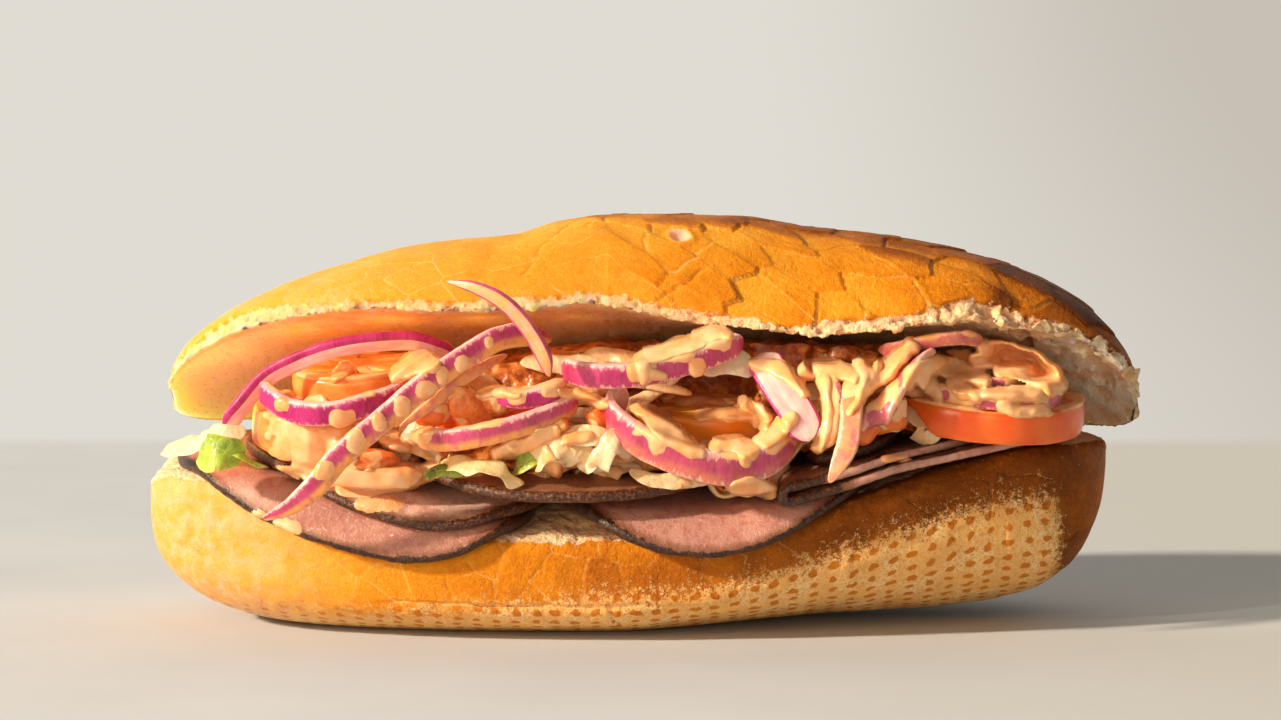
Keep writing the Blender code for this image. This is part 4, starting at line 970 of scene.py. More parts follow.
def make_tomato(name, centre, radius, thickness, tilt, roll, golden, film, material):
    seed = seed_of(name)
    angle = np.linspace(0, 2 * math.pi, 240, endpoint=False)
    turn = np.linspace(math.pi / 2, -math.pi / 2, 34)
    out = np.concatenate([np.linspace(0.02, 1, 34)[:-1], 1 + 0 * turn, np.linspace(1, 0.02, 34)[1:]])
    arc_r = np.concatenate([np.zeros(33), np.cos(turn) ** 0.5, np.zeros(33)])
    arc_z = np.concatenate([np.ones(33), np.sign(np.sin(turn)) * np.abs(np.sin(turn)) ** 0.75, -np.ones(33)])
    r = out * (radius - TOMATO_BEVEL) + arc_r * TOMATO_BEVEL
    cut = 1 - smooth(arc_r, 0.35, 0.8)[:, None]
    place = np.stack([np.cos(angle), np.sin(angle), 0 * angle], -1)
    lobes = 1 + 0.012 * noise(place * 2.4, 1.0, seed)
    wall = np.cos(5 * angle + 1.2 * noise(place * 1.5, 1.0, seed + 2))
    ringed = smooth(out, 0.25, 0.42) * smooth(-out, -0.88, -0.78)
    chamber = smooth(wall[None] - 0.15, 0, 0.35) * ringed[:, None]
    z = arc_z[:, None] * thickness / 2 - 0.7 * chamber * np.sign(arc_z)[:, None] * cut
    flat = r[:, None] * lobes
    grid = np.stack([flat * np.cos(angle), flat * np.sin(angle), z], -1)
    spin = Matrix.Rotation(math.radians(roll), 3, "Y") @ Matrix.Rotation(math.radians(tilt), 3, "X")
    grid = grid @ np.array(spin).T + centre
    grid = grid + 0.12 * noise(grid, 4.0, seed, 2)[..., None] * cut[..., None]
    normal = grid_normals(grid)
    coat = patch_mask(grid, SAUCE_ON_TOMATOES.get(name, ()), seed) * smooth(-grid[..., 1], 12, 20)
    top_side = smooth(normal[..., 2], 0.6, 0.9)
    if golden:
        jelly = 0.5 * top_side * noise(grid * (0.3, 1, 1), 2.2, seed + 9, 3)
        grid = grid + normal * jelly[..., None]
    else:
        coat = np.maximum(coat, top_side * smooth(noise(grid, 7.0, seed + 5, 2), -0.35, 0.2))
    grid = grid + normal * (0.8 * coat)[..., None]
    disc = np.stack([1 - cut + 0 * z, chamber, golden + 0 * z], -1)
    fields = {"disc": disc, "coat": coat, "film": film + 0.25 * cut + 0 * z}
    return tube(name + "_cut", grid, fields, material)


# ---------------------------------------------------------------- onion

# Of each strip: its height, its thickness, the axis of its ring, its looks as make_onion takes
# them, and the points of its middle line
ONIONS = {
    "onion_01": (3.4, 1.8, (0, -0.35, 1), dict(outer=1, film=0.15, crest=1), (
        (-84.5, -27, 41.6), (-81.4, -28, 45.8), (-76.2, -28, 51.8), (-69.7, -29, 55.4),
        (-63.1, -30, 57.9), (-55.8, -30, 59.3), (-47.2, -28, 59.6), (-41.7, -26, 58), (-38.2, -24, 56.2),
    )),
    "onion_02": (4.2, 2.2, (0, -0.3, 1), dict(coat=(
        (328, 356, 391, 400), (330, 356, 408, 430), (360, 378, 388, 397), (262, 296, 368, 394),
        (272, 290, 396, 412),)), (
        (-75.2, -31.5, 50.8), (-75.6, -34, 49.8), (-73.6, -36.6, 48.4), (-70, -39, 46.8),
        (-64.9, -41, 46.2), (-60, -41, 46.6), (-55.1, -40, 47.9), (-50.4, -37.5, 49.1),
        (-46.7, -33, 50.7),
    )),
    "onion_03": (4.2, 2, (-0.6, -0.25, 0.75), dict(film=0.1, low=0.9, ends=(18, 8), coat=(
        (455, 468, 354, 371), (436, 449, 364, 386), (413, 437, 379, 401), (393, 412, 397, 417),
        (372, 386, 411, 432), (345, 365, 428, 453), (314, 334, 459, 480), (483, 494, 335, 350),)), (
        (-75, -44, 25.8), (-69.4, -47, 28.6), (-64.4, -49, 32.8), (-60.1, -49, 37.9),
        (-55.5, -48.5, 42.1), (-49.3, -47.5, 47.3), (-43.9, -46.5, 51.9), (-38.9, -45, 55.3),
        (-34.3, -43.5, 58.3), (-28.5, -41, 61.2), (-22.7, -37.5, 61.6), (-18.5, -33.5, 60.2),
    )),
    "onion_04": (2.8, 1.8, (0.75, -0.2, 0.6), dict(outer=1, film=0.9, rims=0.66, ends=(14, 5)), (
        (-38.5, -46, 72.7), (-32.8, -48, 71.5), (-27.6, -49, 68.9), (-23.9, -49, 65.2),
        (-21.2, -48.5, 61.2), (-19.4, -48.5, 57.4), (-18.6, -48, 54.2),
    )),
    "onion_05": (3.4, 2.8, (0, -0.25, 1), dict(smear=0.4, ends=(7, 3), coat=(
        (484, 552, 376, 388), (506, 526, 384, 406), (540, 560, 378, 398),)), (
        (-31.4, -39, 50.8), (-27.5, -42, 49.7), (-22.5, -43.2, 49.6), (-17.9, -41.5, 50.8),
        (-16.2, -38, 51.8),
    )),
    "onion_06": (4, 2.2, (0, -0.3, 1), dict(film=0.15, smear=0.35, low=0.8, coat=(
        (408, 436, 424, 446), (434, 506, 413, 429),)), (
        (-45.7, -41, 41.9), (-40.2, -43, 41.3), (-34.9, -44.5, 41.9), (-27, -45.3, 43.7),
        (-20.6, -44, 45.6), (-15.6, -41, 47.4), (-13.4, -37, 49.2),
    )),
    "onion_07": (4.4, 2.4, (0, -0.35, 1), dict(film=0.1, coat=(
        (626, 658, 356, 384), (644, 704, 340, 362), (694, 732, 328, 350), (689, 706, 356, 381),)), (
        (-16.5, -37.5, 55.2), (-13.2, -42, 54.4), (-7.9, -45, 54.1), (-1, -45.5, 54.5),
        (5.2, -44.5, 55.8), (11.3, -43, 57.5), (16.2, -41, 59.3), (19.4, -38, 60.3),
    )),
    "onion_08": (6.2, 2.4, (0, -0.4, 1), dict(film=0.15, low=0.3, coat=(
        (634, 702, 402, 454), (714, 758, 436, 461), (754, 797, 413, 452),), bare=(
        (600, 640, 390, 450),)), (
        (-3.4, -34, 48.7), (-6.4, -38, 47.7), (-6.5, -42, 45.7), (-3, -45, 42.7), (1.9, -47, 40),
        (8.7, -48, 37.6), (15.5, -48.3, 36.2), (21.4, -47, 36.9), (25.6, -45, 38.6), (28.4, -41, 41),
        (28.2, -36, 43),
    )),
    "onion_09": (6.2, 1.8, (-0.9, -0.1, -0.4), dict(outer=1, film=0.15, rims=0.8, coat=(
        (750, 800, 358, 374),)), (
        (22.6, -35.5, 57.6), (24.5, -39, 54.8), (27.2, -42.6, 50.7), (30.2, -44.6, 46), (32, -46, 41.3),
    )),
    "onion_10": (2.8, 2.2, (0.9, -0.2, 0), dict(film=0.3, coat=(
        (804, 854, 362, 382), (818, 840, 376, 456),)), (
        (36, -39, 53.6), (37, -43, 50.2), (36.6, -44.5, 45.4), (35.6, -44.6, 40.2),
    )),
    "onion_11": (3.8, 1.8, (0.9, -0.2, 0.1), dict(coat=((836, 868, 366, 400),), film=0.7, ends=(3, 9)), (
        (42.8, -38.5, 55), (40.6, -44, 50.1), (40, -47, 45.3), (39.2, -48.4, 40.7), (37, -49, 36),
        (35.8, -49, 33.6),
    )),
    "onion_12": (4.6, 1.8, (0.75, -0.2, 0.6), dict(coat=((850, 905, 345, 410),), film=0.4), (
        (57.2, -31, 57.4), (53.2, -37, 55.8), (50.2, -41, 52.4), (47.2, -43, 48.4), (44.8, -42.6, 45.2),
        (43.2, -40, 42.9),
    )),
    "onion_13": (3, 2.6, (0.1, -0.12, 1), dict(film=0.3, coat=(
        (890, 1090, 330, 425),), bare=(
        (914, 933, 379, 398), (940, 951, 388, 402), (970, 1005, 398, 415), (1018, 1036, 399, 408),
        (1044, 1072, 391, 413),)), (
        (58.5, -17.5, 51.1), (55.3, -22.5, 50.9), (57.2, -29.5, 49.9), (62.6, -34, 48.9),
        (69.4, -35.3, 48.2), (76.2, -33.6, 47.9), (81.4, -28.6, 48.1), (82.6, -22, 48.8),
        (79.5, -16.5, 49.7),
    )),
    "onion_14": (3, 2.2, (0.1, -0.12, 1), dict(film=0.3, coat=(
        (930, 1040, 350, 410),), bare=(
        (958, 1012, 376, 392),)), (
        (61.5, -20, 51.8), (63, -26, 51.2), (68.2, -29.4, 50.7), (73.6, -27.5, 50.5), (75.2, -21.5, 51),
    )),
    "onion_15": (2.4, 1.8, (0, -0.2, 1), dict(film=0.5, smear=0.4), (
        (46.6, -28, 57.6), (50.5, -31.5, 58.5), (56.7, -32.4, 59.9), (63.2, -31, 60.4), (68, -26.5, 59.2),
    )),
    "onion_16": (2.2, 1.6, (-0.6, -0.25, 0.75), dict(film=0.9, smear=0.2, ends=(9, 9)), (
        (-48.1, -43, 43.9), (-42.2, -43, 48.2), (-36.9, -42.2, 52.4), (-31.3, -40.2, 56),
        (-27.2, -37, 57.6),
    )),
    "onion_17": (3, 2.2, (0, -0.2, 1), dict(film=0.9, coat=((312, 432, 458, 500),)), (
        (-63.6, -37.5, 34.2), (-58.6, -39.8, 33.9), (-51.6, -40.2, 33.8), (-47, -39.2, 33.8),
        (-44.2, -38, 33.9),
    )),
}


def curve_points(controls, pitch):
    """Points spaced evenly along a smooth Catmull-Rom curve through the control points."""
    p = np.asarray(controls, float)
    p = np.vstack([2 * p[0] - p[1], p, 2 * p[-1] - p[-2]])
    t = np.linspace(0, 1, 24, endpoint=False)[:, None]
    fine = [
        0.5 * (2 * b + (c - a) * t + (2 * a - 5 * b + 4 * c - d) * t**2 + (3 * b - a - 3 * c + d) * t**3)
        for a, b, c, d in zip(p, p[1:], p[2:], p[3:])
    ]
    fine = np.concatenate(fine + [p[-2:-1]])
    run = run_length(fine)
    even = np.linspace(0, run[-1], max(int(run[-1] / pitch), 8))
    return np.stack([np.interp(even, run, column) for column in fine.T], axis=1), even


def directions(points):
    """Unit vectors along a line of points."""
    along = np.gradient(points, axis=0)
    return along / np.linalg.norm(along, axis=1)[:, None]


STRIP_PITCH, STRIP_COLUMNS, STRIP_SQUARE = 0.3, 44, 0.55
TALLER = 1.15  # the strips stand a little higher than the solids of the same names


def strip_grid(points, tall, deep, up, ends):
    """Rings of a strip whose ends narrow over two lengths, and each point's run, rise and place
    across it."""
    line, run = curve_points(points, STRIP_PITCH)
    along = directions(line)
    axis = np.asarray(up, float) / np.linalg.norm(up)
    height = axis - (along @ axis)[:, None] * along
    height /= np.linalg.norm(height, axis=1)[:, None]
    side = np.cross(along, height)
    tall = tall * TALLER
    taper = np.ones(len(run))
    for length, gone in ((ends[0], run), (ends[1], run[-1] - run)):
        taper = taper * (0.16 + 0.84 * np.sin(np.clip(gone / length, 0, 1) * math.pi / 2) ** 0.8)
    tip = np.minimum(run, run[-1] - run) / 0.7
    taper = (taper * np.sqrt(np.clip(1 - (1 - np.minimum(tip, 1)) ** 2, 0.02, 1)))[:, None]
    angle = np.linspace(0, 2 * math.pi, STRIP_COLUMNS, endpoint=False)
    rise, across = (np.sign(v) * np.abs(v) ** STRIP_SQUARE for v in (np.cos(angle), np.sin(angle)))
    up_part = height[:, None] * (taper * tall / 2 * rise)[..., None]
    side_part = side[:, None] * (taper * deep / 2 * across)[..., None]
    places = np.stack(np.broadcast_arrays(run[:, None], rise[None], across[None]), -1)
    return line[:, None] + up_part + side_part, places


def make_onion(name, points, tall, deep, up, material, outer=0, coat=(), bare=(), film=0.0, smear=0.0,
               crest=0, rims=2.0, low=0.0, ends=(3.5, 3.5)):
    """One strip. outer turns the skin towards the viewer (0) or away (1); coat and bare are
    patches with and without sauce, film is a thin smear of it and smear covers upper sides with
    more; crest turns the upper edge to skin, rims both edges past a height, and low tints the
    lower side."""
    seed = seed_of(name) * 3
    grid, places = strip_grid(points, tall, deep, up, ends)
    normal = grid_normals(grid)
    faces_viewer = -np.sign((normal[..., 1] * places[..., 2]).sum())
    places[..., 2] *= faces_viewer * (-1 if outer else 1)
    skinned = (crest > 0) & (places[..., 1] > 0.1) | (np.abs(places[..., 1]) > rims)
    places[skinned, 1:] = 0.2, 1.0
    mask = patch_mask(grid, coat, seed)
    sprawl = smooth(noise(grid, 5.0, seed + 3, 2) + smear - 0.55, 0, 0.35) * smooth(normal[..., 2], -0.5, 0.6)
    mask = np.maximum(mask, sprawl)
    if bare:
        mask = np.minimum(mask, 1 - patch_mask(grid, bare, seed + 1))
    relief = 0.12 * noise(grid, 2.0, seed, 2) * (1 - mask) + (0.42 + 0.25 * noise(grid, 2.6, seed + 7)) * mask
    grid = grid + normal * relief[..., None]
    grid[..., 2] -= 0.25 * mask
    places[..., 0] += seed
    film = np.where(skinned, 0.2 * film, film) + low * smooth(-places[..., 1], -0.1, 0.4)
    fields = {"strip": places, "coat": mask, "film": film}
    return tube(name + "_strip", grid, fields, material)


# ---------------------------------------------------------------- salad

SALAD_SPAN = (-80.0, 87.0)
SALAD_LIFT = (
    (-95, 3.2), (-86, 3.4), (-82, 6.2), (-49, 6.2), (-46, 11.9), (12.5, 11.9), (15, 7.2),
    (26, 7.2), (28, 10.2), (31, 12.7), (53, 10.6), (56, 7.2), (69, 5.6), (72, 3.4), (95, 3.4),
)
SALAD_TOP = (
    (-90, 44.0), (-72, 47.0), (-50, 51.0), (-32, 54.5), (-12, 58.0), (20, 59.5), (50, 58.5),
    (70, 56.0), (90, 51.0),
)
SALAD_DEPTH = (-35.0, 10.0)
SALAD_LEAN = 9.0
HEAP_RINGS, HEAP_SIDE, HEAP_FRONT = 322, 44, 66  # sections, and points along a side and the front


def top_cut_z(x, y):
    """Height of the top half's cut face over a place."""
    s = (x - TOP_MID_X) / TOP_HALF_LENGTH
    width = TOP_HALF_DEPTH * end_scale(s, PLAN_POWER)
    return np.interp(y, *top_cut(s, np.linspace(-width, width, 41)))


def salad_section(x):
    """Closed outline of the heap at x, between the beef and the top half."""
    along = (2 * x - SALAD_SPAN[0] - SALAD_SPAN[1]) / (SALAD_SPAN[1] - SALAD_SPAN[0])
    end = end_scale(np.clip(along, -1, 1), 3.0)
    ys = np.linspace(SALAD_DEPTH[0] - 3.0, SALAD_DEPTH[1] + 4.0, 53)
    low = bottom_cut_z(x, ys) + along_table(x, SALAD_LIFT)
    high = np.minimum(top_cut_z(x, ys) - 1.0, along_table(x, SALAD_TOP))
    back = min(ys[(high - low) > 3.0].max(), SALAD_DEPTH[1] - 12.0 * (1 - end))
    front = SALAD_DEPTH[0] + 13.0 * (1 - end)
    middle = (back + front) / 2
    y_back, y_front = middle + (back - middle) * end, middle + (front - middle) * end
    top_front = y_front + SALAD_LEAN * end
    under = np.linspace(y_back, y_front, HEAP_SIDE)
    over = np.linspace(top_front, y_back, HEAP_SIDE)
    share = np.linspace(0, 1, HEAP_FRONT + 2)[1:-1]
    z0, z1 = np.interp(y_front, ys, low), np.interp(top_front, ys, high)
    y = np.concatenate([under, y_front + (top_front - y_front) * share**0.8, over])
    z = np.concatenate([np.interp(under, ys, low), z0 + (z1 - z0) * share, np.interp(over, ys, high)])
    level = np.interp(middle, ys, (low + high) / 2)
    return np.stack([x + 0 * y, y, level + (z - level) * end**0.6], 1)


def heap_grid():
    middle, half = sum(SALAD_SPAN) / 2, (SALAD_SPAN[1] - SALAD_SPAN[0]) / 2
    return np.array([salad_section(middle + half * s) for s in stations(HEAP_RINGS)])


HEAP_DENT, HEAP_DENT_DEPTH = (636, 772, 346, 424), 15.0  # over the golden slice of tomato


def make_heap(grid, normal, material):
    lumps = 1.1 * noise(grid, 4.5, 71, 2) - 1.4 * smooth(noise(grid, 3.0, 72, 2), 0.0, 0.6) - 0.5
    grid = grid + normal * lumps[..., None]
    dent = patch_mask(grid, (HEAP_DENT,), 73) * smooth(-grid[..., 1], 4, 16)
    grid[..., 1] += HEAP_DENT_DEPTH * dent
    return tube("salad_heap", grid, {}, material)


def on_grid(grid, row, col):
    """Values between the points of a grid."""
    row, col = np.clip(row, 0, grid.shape[0] - 1.001), np.clip(col, 0, grid.shape[1] - 1.001)
    i, j = row.astype(int), col.astype(int)
    f, g = (row - i)[:, None], (col - j)[:, None]
    near = grid[i, j] * (1 - g) + grid[i, j + 1] * g
    far = grid[i + 1, j] * (1 - g) + grid[i + 1, j + 1] * g
    return near * (1 - f) + far * f


def ribbon(line, face, width, thickness, twist, ruffle, seed, columns=18):
    """A thin strip of leaf along a line, and each point's rise on it. face points out of its flat
    side, twist turns it and ruffle waves its edges."""
    run = run_length(line)[:, None]
    along = directions(line)
    side = face - (face * along).sum(1)[:, None] * along
    side /= np.maximum(np.linalg.norm(side, axis=1)[:, None], 1e-6)
    tall = np.cross(side, along)
    cos, sin = np.cos(twist)[:, None], np.sin(twist)[:, None]
    side, tall = side * cos + tall * sin, tall * cos - side * sin
    taper = np.sqrt(np.clip(1 - np.abs(2 * run / run[-1] - 1) ** 3.5, 0.01, 1))
    angle = np.linspace(0, 2 * math.pi, columns, endpoint=False)
    rise = np.cos(angle) + 0 * run
    waves = np.stack([run + 0 * rise, 1.5 * rise, seed + 0 * rise], -1)
    shift = ruffle * noise(waves, 3.2, seed) * (0.25 + rise**2)
    bulk = thickness / 2 * np.sqrt(np.clip(taper, 0.05, 1)) * np.sin(angle)
    ragged = 1 + 0.22 * noise(waves, 2.4, seed + 1)
    grid = line[:, None] + tall[:, None] * (width / 2 * taper * rise * ragged)[..., None]
    return grid + side[:, None] * (bulk + shift * taper)[..., None], rise


SHRED_COUNT = 46
# Photo columns and rows where none lie
SHRED_FREE = ((628, 772, 362, 446), (862, 925, 385, 446), (262, 402, 330, 402))


def make_shreds(heap, normal, material):
    """Shredded lettuce strewn over the front and the top of the heap."""
    draw = np.random.default_rng(5).uniform
    bodies = []
    first, last = HEAP_SIDE - 4, HEAP_SIDE + HEAP_FRONT - 6
    for number in range(SHRED_COUNT):
        length = draw(14, 34)
        t = np.linspace(0, 1, int(length / 0.55))
        row = draw(10, 300) + (t - 0.5) * length * 1.9 * draw(0.6, 1.0)
        slope = draw(-26, 26)
        wander = draw(-7, 7) * np.sin(t * math.pi * draw(1, 2.6) + draw(0, 6))
        col = draw(first, last) + (t - 0.5) * slope + wander
        base, face = on_grid(heap, row, col), on_grid(normal, row, col)
        lift = draw(-0.4, 0.7) + draw(0.2, 2.2) * np.sin(t * math.pi * draw(0.8, 1.6))
        line = base + face * lift[:, None]
        twist = draw(-0.5, 0.5) + draw(-1.2, 1.2) * (t - 0.5)
        width, green = draw(2.6, 5.6), draw(0, 1) ** 4 * 0.3
        grid, rise = ribbon(line, face, width, draw(1.1, 1.8), twist, draw(0.3, 1.0), number)
        film = draw(0.5, 1.0)
        coat = smooth(noise(grid, 6.0, 90 + number % 7, 2) + draw(-0.35, 0.25), 0.0, 0.35)
        grid = grid + (face[:, None] * (0.6 * coat)[..., None])
        column, height = in_photo(line[len(line) // 2])
        if not any(a < column < b and c < height < d for a, b, c, d in SHRED_FREE):
            bodies.append((grid, {"green": green + 0.06 * rise, "coat": coat, "film": film + 0 * coat}))
    return joined("lettuce_shreds", bodies, material)


# Of each leaf that shows: its width, its ruffle, how green it is from end to end, its film of
# sauce, its twist at both ends, the side that faces out, and its points: photo column, row, depth y
LEAVES = {
    "leaf_green": (7.2, 2.4, (0.6, 0.66), 0, (0.3, -0.5), (0.2, -1, 0.45), (
        (196, 462, -36.5), (205, 455, -38.5), (216, 451, -40), (228, 455, -39.5), (237, 466, -37),
    )),
    "leaf_tail": (2.6, 0.8, (0.66, 0.8), 0.1, (0.2, 0.9), (0, -1, 0.8), (
        (230, 450, -38), (240, 455, -39), (252, 462, -38.5), (268, 468, -37),
    )),
    "leaf_pale_left": (5.6, 1.6, (-0.05, 0.02), 0.3, (0.1, -0.3), (0, -0.8, 0.8), (
        (163, 452, -18), (180, 446, -22), (200, 441, -26), (222, 436, -29), (246, 430, -28),
    )),
    "leaf_dark_middle": (2.6, 0.7, (0.85, 0.75), 0.1, (0.3, -0.3), (0, -1, 0.5), (
        (424, 478, -41), (434, 472, -42), (448, 470, -42), (464, 474, -41),
    )),
    "leaf_pale_middle": (4.6, 1.6, (0.22, 0.1), 0.42, (0.2, 0.5), (0, -1, 0.6), (
        (440, 466, -40), (458, 463, -42), (480, 467, -43), (502, 472, -43.5), (524, 484, -42.5),
    )),
    "leaf_dark_curl": (4.2, 1.2, (0.8, 0.66), 0.1, (0.8, -0.4), (0, -1, 0.3), (
        (514, 470, -38), (522, 464, -40), (530, 457, -41), (536, 449, -40),
    )),
    "leaf_curl_1": (6, 3.4, (0, 0.08), 0.5, (0.5, -0.4), (0, -1, 0.5), (
        (536, 468, -41), (546, 455, -43), (560, 449, -44), (574, 452, -44), (585, 460, -43),
        (584, 472, -42),
    )),
    "leaf_curl_2": (4.6, 3.2, (0, 0.04), 0.35, (-0.4, 0.8), (0, -1, 0.3), (
        (596, 474, -41), (600, 462, -43.5), (607, 448, -44.5), (617, 440, -44.5), (626, 446, -43),
        (628, 460, -42),
    )),
    "leaf_curl_3": (4.4, 1.6, (0.05, 0.08), 0.5, (0.2, -0.2), (0, -1, 0.8), (
        (540, 446, -40), (556, 437, -42), (576, 434, -43), (598, 436, -43), (614, 444, -42),
    )),
    "leaf_low_right": (3.4, 0.8, (0.1, 0.04), 0.45, (0.2, -0.3), (0, -1, 0.5), (
        (630, 470, -40), (644, 477, -42), (664, 481, -42), (690, 481, -41), (712, 479, -40),
    )),
    "leaf_back_white": (6, 0.9, (0, 0.05), 0.12, (0, 0.3), (0, -1, 0.4), (
        (700, 366, -36), (718, 362, -38), (738, 364, -38), (754, 372, -37),
    )),
    "leaf_right": (3.6, 1.2, (0.04, 0.1), 0.8, (0.3, -0.4), (0, -1, 0.5), (
        (838, 430, -38), (850, 421, -40), (866, 416, -40.5), (884, 420, -39), (900, 431, -37),
    )),
}
LEAF_NODES = {"leaf_green": ("lettuce_1",), "leaf_pale_left": ("lettuce_2",)}


def make_leaf(name, width, ruffle, green, film, twist, face, points, material):
    seed = seed_of(name) * 5
    line, run = curve_points([from_photo(*point) for point in points], 0.35)
    share = run / run[-1]
    turns = twist[0] + (twist[1] - twist[0]) * share
    grid, rise = ribbon(line, np.broadcast_to(face, line.shape), width, 0.6, turns, ruffle, seed, 40)
    coat = smooth(noise(grid, 4.0, seed, 2) + 1.3 * film - 0.9, 0, 0.3)
    grid = grid + np.array(face) / np.linalg.norm(face) * (0.45 * coat)[..., None]
    tone = green[0] + (green[1] - green[0]) * share[:, None] + 0.05 * rise
    return tube(name, grid, {"green": tone, "coat": coat, "film": film + 0 * coat}, material)


# Scraps of tomato between the shreds: photo column, row, depth y, and sizes in millimetres
TOMATO_BITS = (
    (432, 413, -40, 3.4, 2.4, 2.8), (470, 410, -39.5, 6.4, 3, 3.6), (492, 403, -39, 3.4, 2.4, 3.4),
    (558, 424, -40, 3.8, 2.2, 1.8), (514, 447, -41, 2.8, 1.8, 1.3), (888, 414, -38, 4.2, 3, 4.2),
    (868, 428, -38, 3.4, 2.4, 2.4), (372, 461, -38.5, 5.4, 3, 2.4), (600, 420, -39, 3, 2.4, 2.2),
)


def make_tomato_bits(material):
    bodies = []
    lat = np.linspace(0, math.pi, 34)[1:-1, None]
    lon = np.linspace(0, 2 * math.pi, 56, endpoint=False)[None]
    ball = np.stack([np.sin(lat) * np.cos(lon), np.sin(lat) * np.sin(lon), np.cos(lat) + 0 * lon], -1)
    ball = np.sign(ball) * np.abs(ball) ** 0.8
    for number, (column, row, depth, *size) in enumerate(TOMATO_BITS):
        lumps = 1 + 0.22 * noise(ball, 0.8, 200 + number, 2)
        turn = np.array(Matrix.Rotation(0.9 * number, 3, "Y") @ Matrix.Rotation(0.5 * number, 3, "Z"))
        grid = (ball * size * lumps[..., None]) @ turn.T + from_photo(column, row, depth)
        skin = smooth(noise(grid, 6.0, 210), -0.2, 0.2)
        coat = smooth(noise(grid, 3.4, 211, 2), 0.15, 0.45)
        fields = {"disc": np.stack([skin, 0 * skin, 0 * skin], -1), "coat": coat, "film": 0.2 + 0 * coat}
        bodies.append((grid, fields))
    return joined("tomato_bits", bodies, material)


# ---------------------------------------------------------------- sauce

# Thick sauce: each run follows (photo column, photo row, half-width in millimetres)
SAUCE_UNDER_ONIONS = (
    ((285, 404, 2.2), (300, 424, 4), (308, 446, 4.2), (306, 464, 3)),
    ((318, 410, 3), (335, 430, 4.4), (342, 448, 3.6), (330, 468, 2.6)),
    ((300, 468, 1.8), (328, 475, 2.6), (348, 474, 2.2)),
    ((345, 488, 1.8), (365, 484, 2.6), (395, 478, 2.4), (425, 472, 1.9), (450, 466, 1.2)),
    ((386, 438, 1.2), (404, 444, 1.6), (420, 446, 1.2)),
)
SAUCE_RUNS = (
    ((398, 374, 1.7), (418, 363, 2.2), (436, 367, 1.8)), ((338, 378, 1.2), (346, 370, 1.5)),
    ((500, 453, 1), (520, 447, 1.6), (540, 437, 1.7), (556, 432, 1.4)),
    ((546, 452, 1.2), (552, 462, 1.5), (558, 470, 1)), ((570, 440, 1.3), (590, 436, 1.2)),
    ((650, 356, 1.7), (668, 350, 1.9), (685, 345, 1.7), (700, 340, 1.5)),
    ((697, 338, 1.5), (715, 333, 1.6), (728, 336, 1)),
    ((640, 361, 1.6), (642, 371, 1.7), (643, 380, 1.1)), ((652, 374, 1.2), (664, 376, 0.8)),
    ((640, 408, 1.3), (655, 419, 2), (669, 432, 2.2), (686, 446, 2)), ((700, 452, 1.2), (688, 448, 1.8)),
    ((719, 446, 1.7), (735, 443, 1.9), (751, 452, 1.6)), ((742, 450, 1.5), (745, 462, 1.2)),
    ((764, 442, 1.6), (778, 431, 2), (792, 417, 1.5)),
    ((756, 362, 1.2), (773, 366, 1.7), (789, 378, 1.7), (801, 392, 1.2)),
    ((806, 371, 1.5), (822, 365, 1.7), (840, 371, 1.6), (852, 377, 1.2)),
    ((823, 376, 1.2), (824, 396, 1.1), (826, 416, 1.2), (822, 444, 1.3)),
    ((858, 366, 1.5), (868, 379, 1.9), (861, 395, 1.5), (850, 410, 1.1)),
    ((908, 348, 1.7), (894, 361, 2), (880, 375, 2), (868, 389, 1.4)),
    ((905, 386, 1.2), (916, 373, 1.7), (935, 367, 1.9), (960, 371, 1.8), (984, 380, 1.2)),
    ((922, 376, 1.8), (931, 389, 1.4), (937, 400, 1)),
    ((952, 383, 1.5), (962, 393, 1.7), (977, 398, 1.2)),
    ((985, 394, 1.3), (1010, 395, 1.4), (1036, 394, 1.3)),
    ((1003, 406, 1.5), (1018, 411, 1.4), (1040, 409, 1.4)),
    ((986, 350, 1.3), (1010, 351, 1.6), (1032, 359, 1.6), (1048, 371, 1.5), (1060, 386, 1.1)),
    ((1000, 368, 1.3), (1022, 371, 1.7), (1042, 381, 1.5), (1052, 392, 1.1)),
    ((975, 362, 1.2), (995, 358, 1.2)), ((737, 487, 1.3), (754, 486, 1.8), (770, 491, 1.3)),
    ((700, 417, 0.8), (722, 414, 1.1), (746, 417, 1.1), (766, 424, 0.9)),
    ((745, 401, 0.8), (757, 408, 1.2), (768, 416, 0.9)),
    ((478, 395, 0.8), (500, 392, 1.1), (520, 396, 0.8)),
    ((560, 392, 0.9), (585, 397, 1.1), (604, 404, 0.9)),
)
SAUCE_COLUMNS, SAUCE_ROWS = (176, 1104), (316, 548)  # pixels of the photograph
SAUCE_PITCH = 1.25  # pixels between the points of its skin
SAUCE_MARGIN, SAUCE_BRIDGE, SAUCE_EDGE = 0.7, 3.5, 1.3  # millimetres


def surface_tree(pieces):
    """A tree for casting rays at pieces, in metres."""
    points, faces, shift = [], [], 0
    for piece in pieces:
        co = np.empty(len(piece.data.vertices) * 3, np.float32)
        piece.data.vertices.foreach_get("co", co)
        points.append(co.reshape(-1, 3))
        faces += [[v + shift for v in face.vertices] for face in piece.data.polygons]
        shift += len(points[-1])
    return BVHTree.FromPolygons(np.concatenate(points).tolist(), faces)


def first_hit(tree, column, row):
    """Where the line of sight through a pixel of the photograph meets the pieces."""
    near, far = ((from_photo(column, row, y) + SHIFT) * MM for y in (-120.0, 0.0))
    hit = tree.ray_cast(Vector(near), Vector(far - near))[0]
    return None if hit is None else np.array(hit) / MM - SHIFT


def spread(field, cells, pick):
    """The field joined with itself moved by up to some cells along both of its axes."""
    for axis in (0, 1):
        field = pick([np.roll(field, step, axis) for step in range(-cells, cells + 1)], axis=0)
    return field


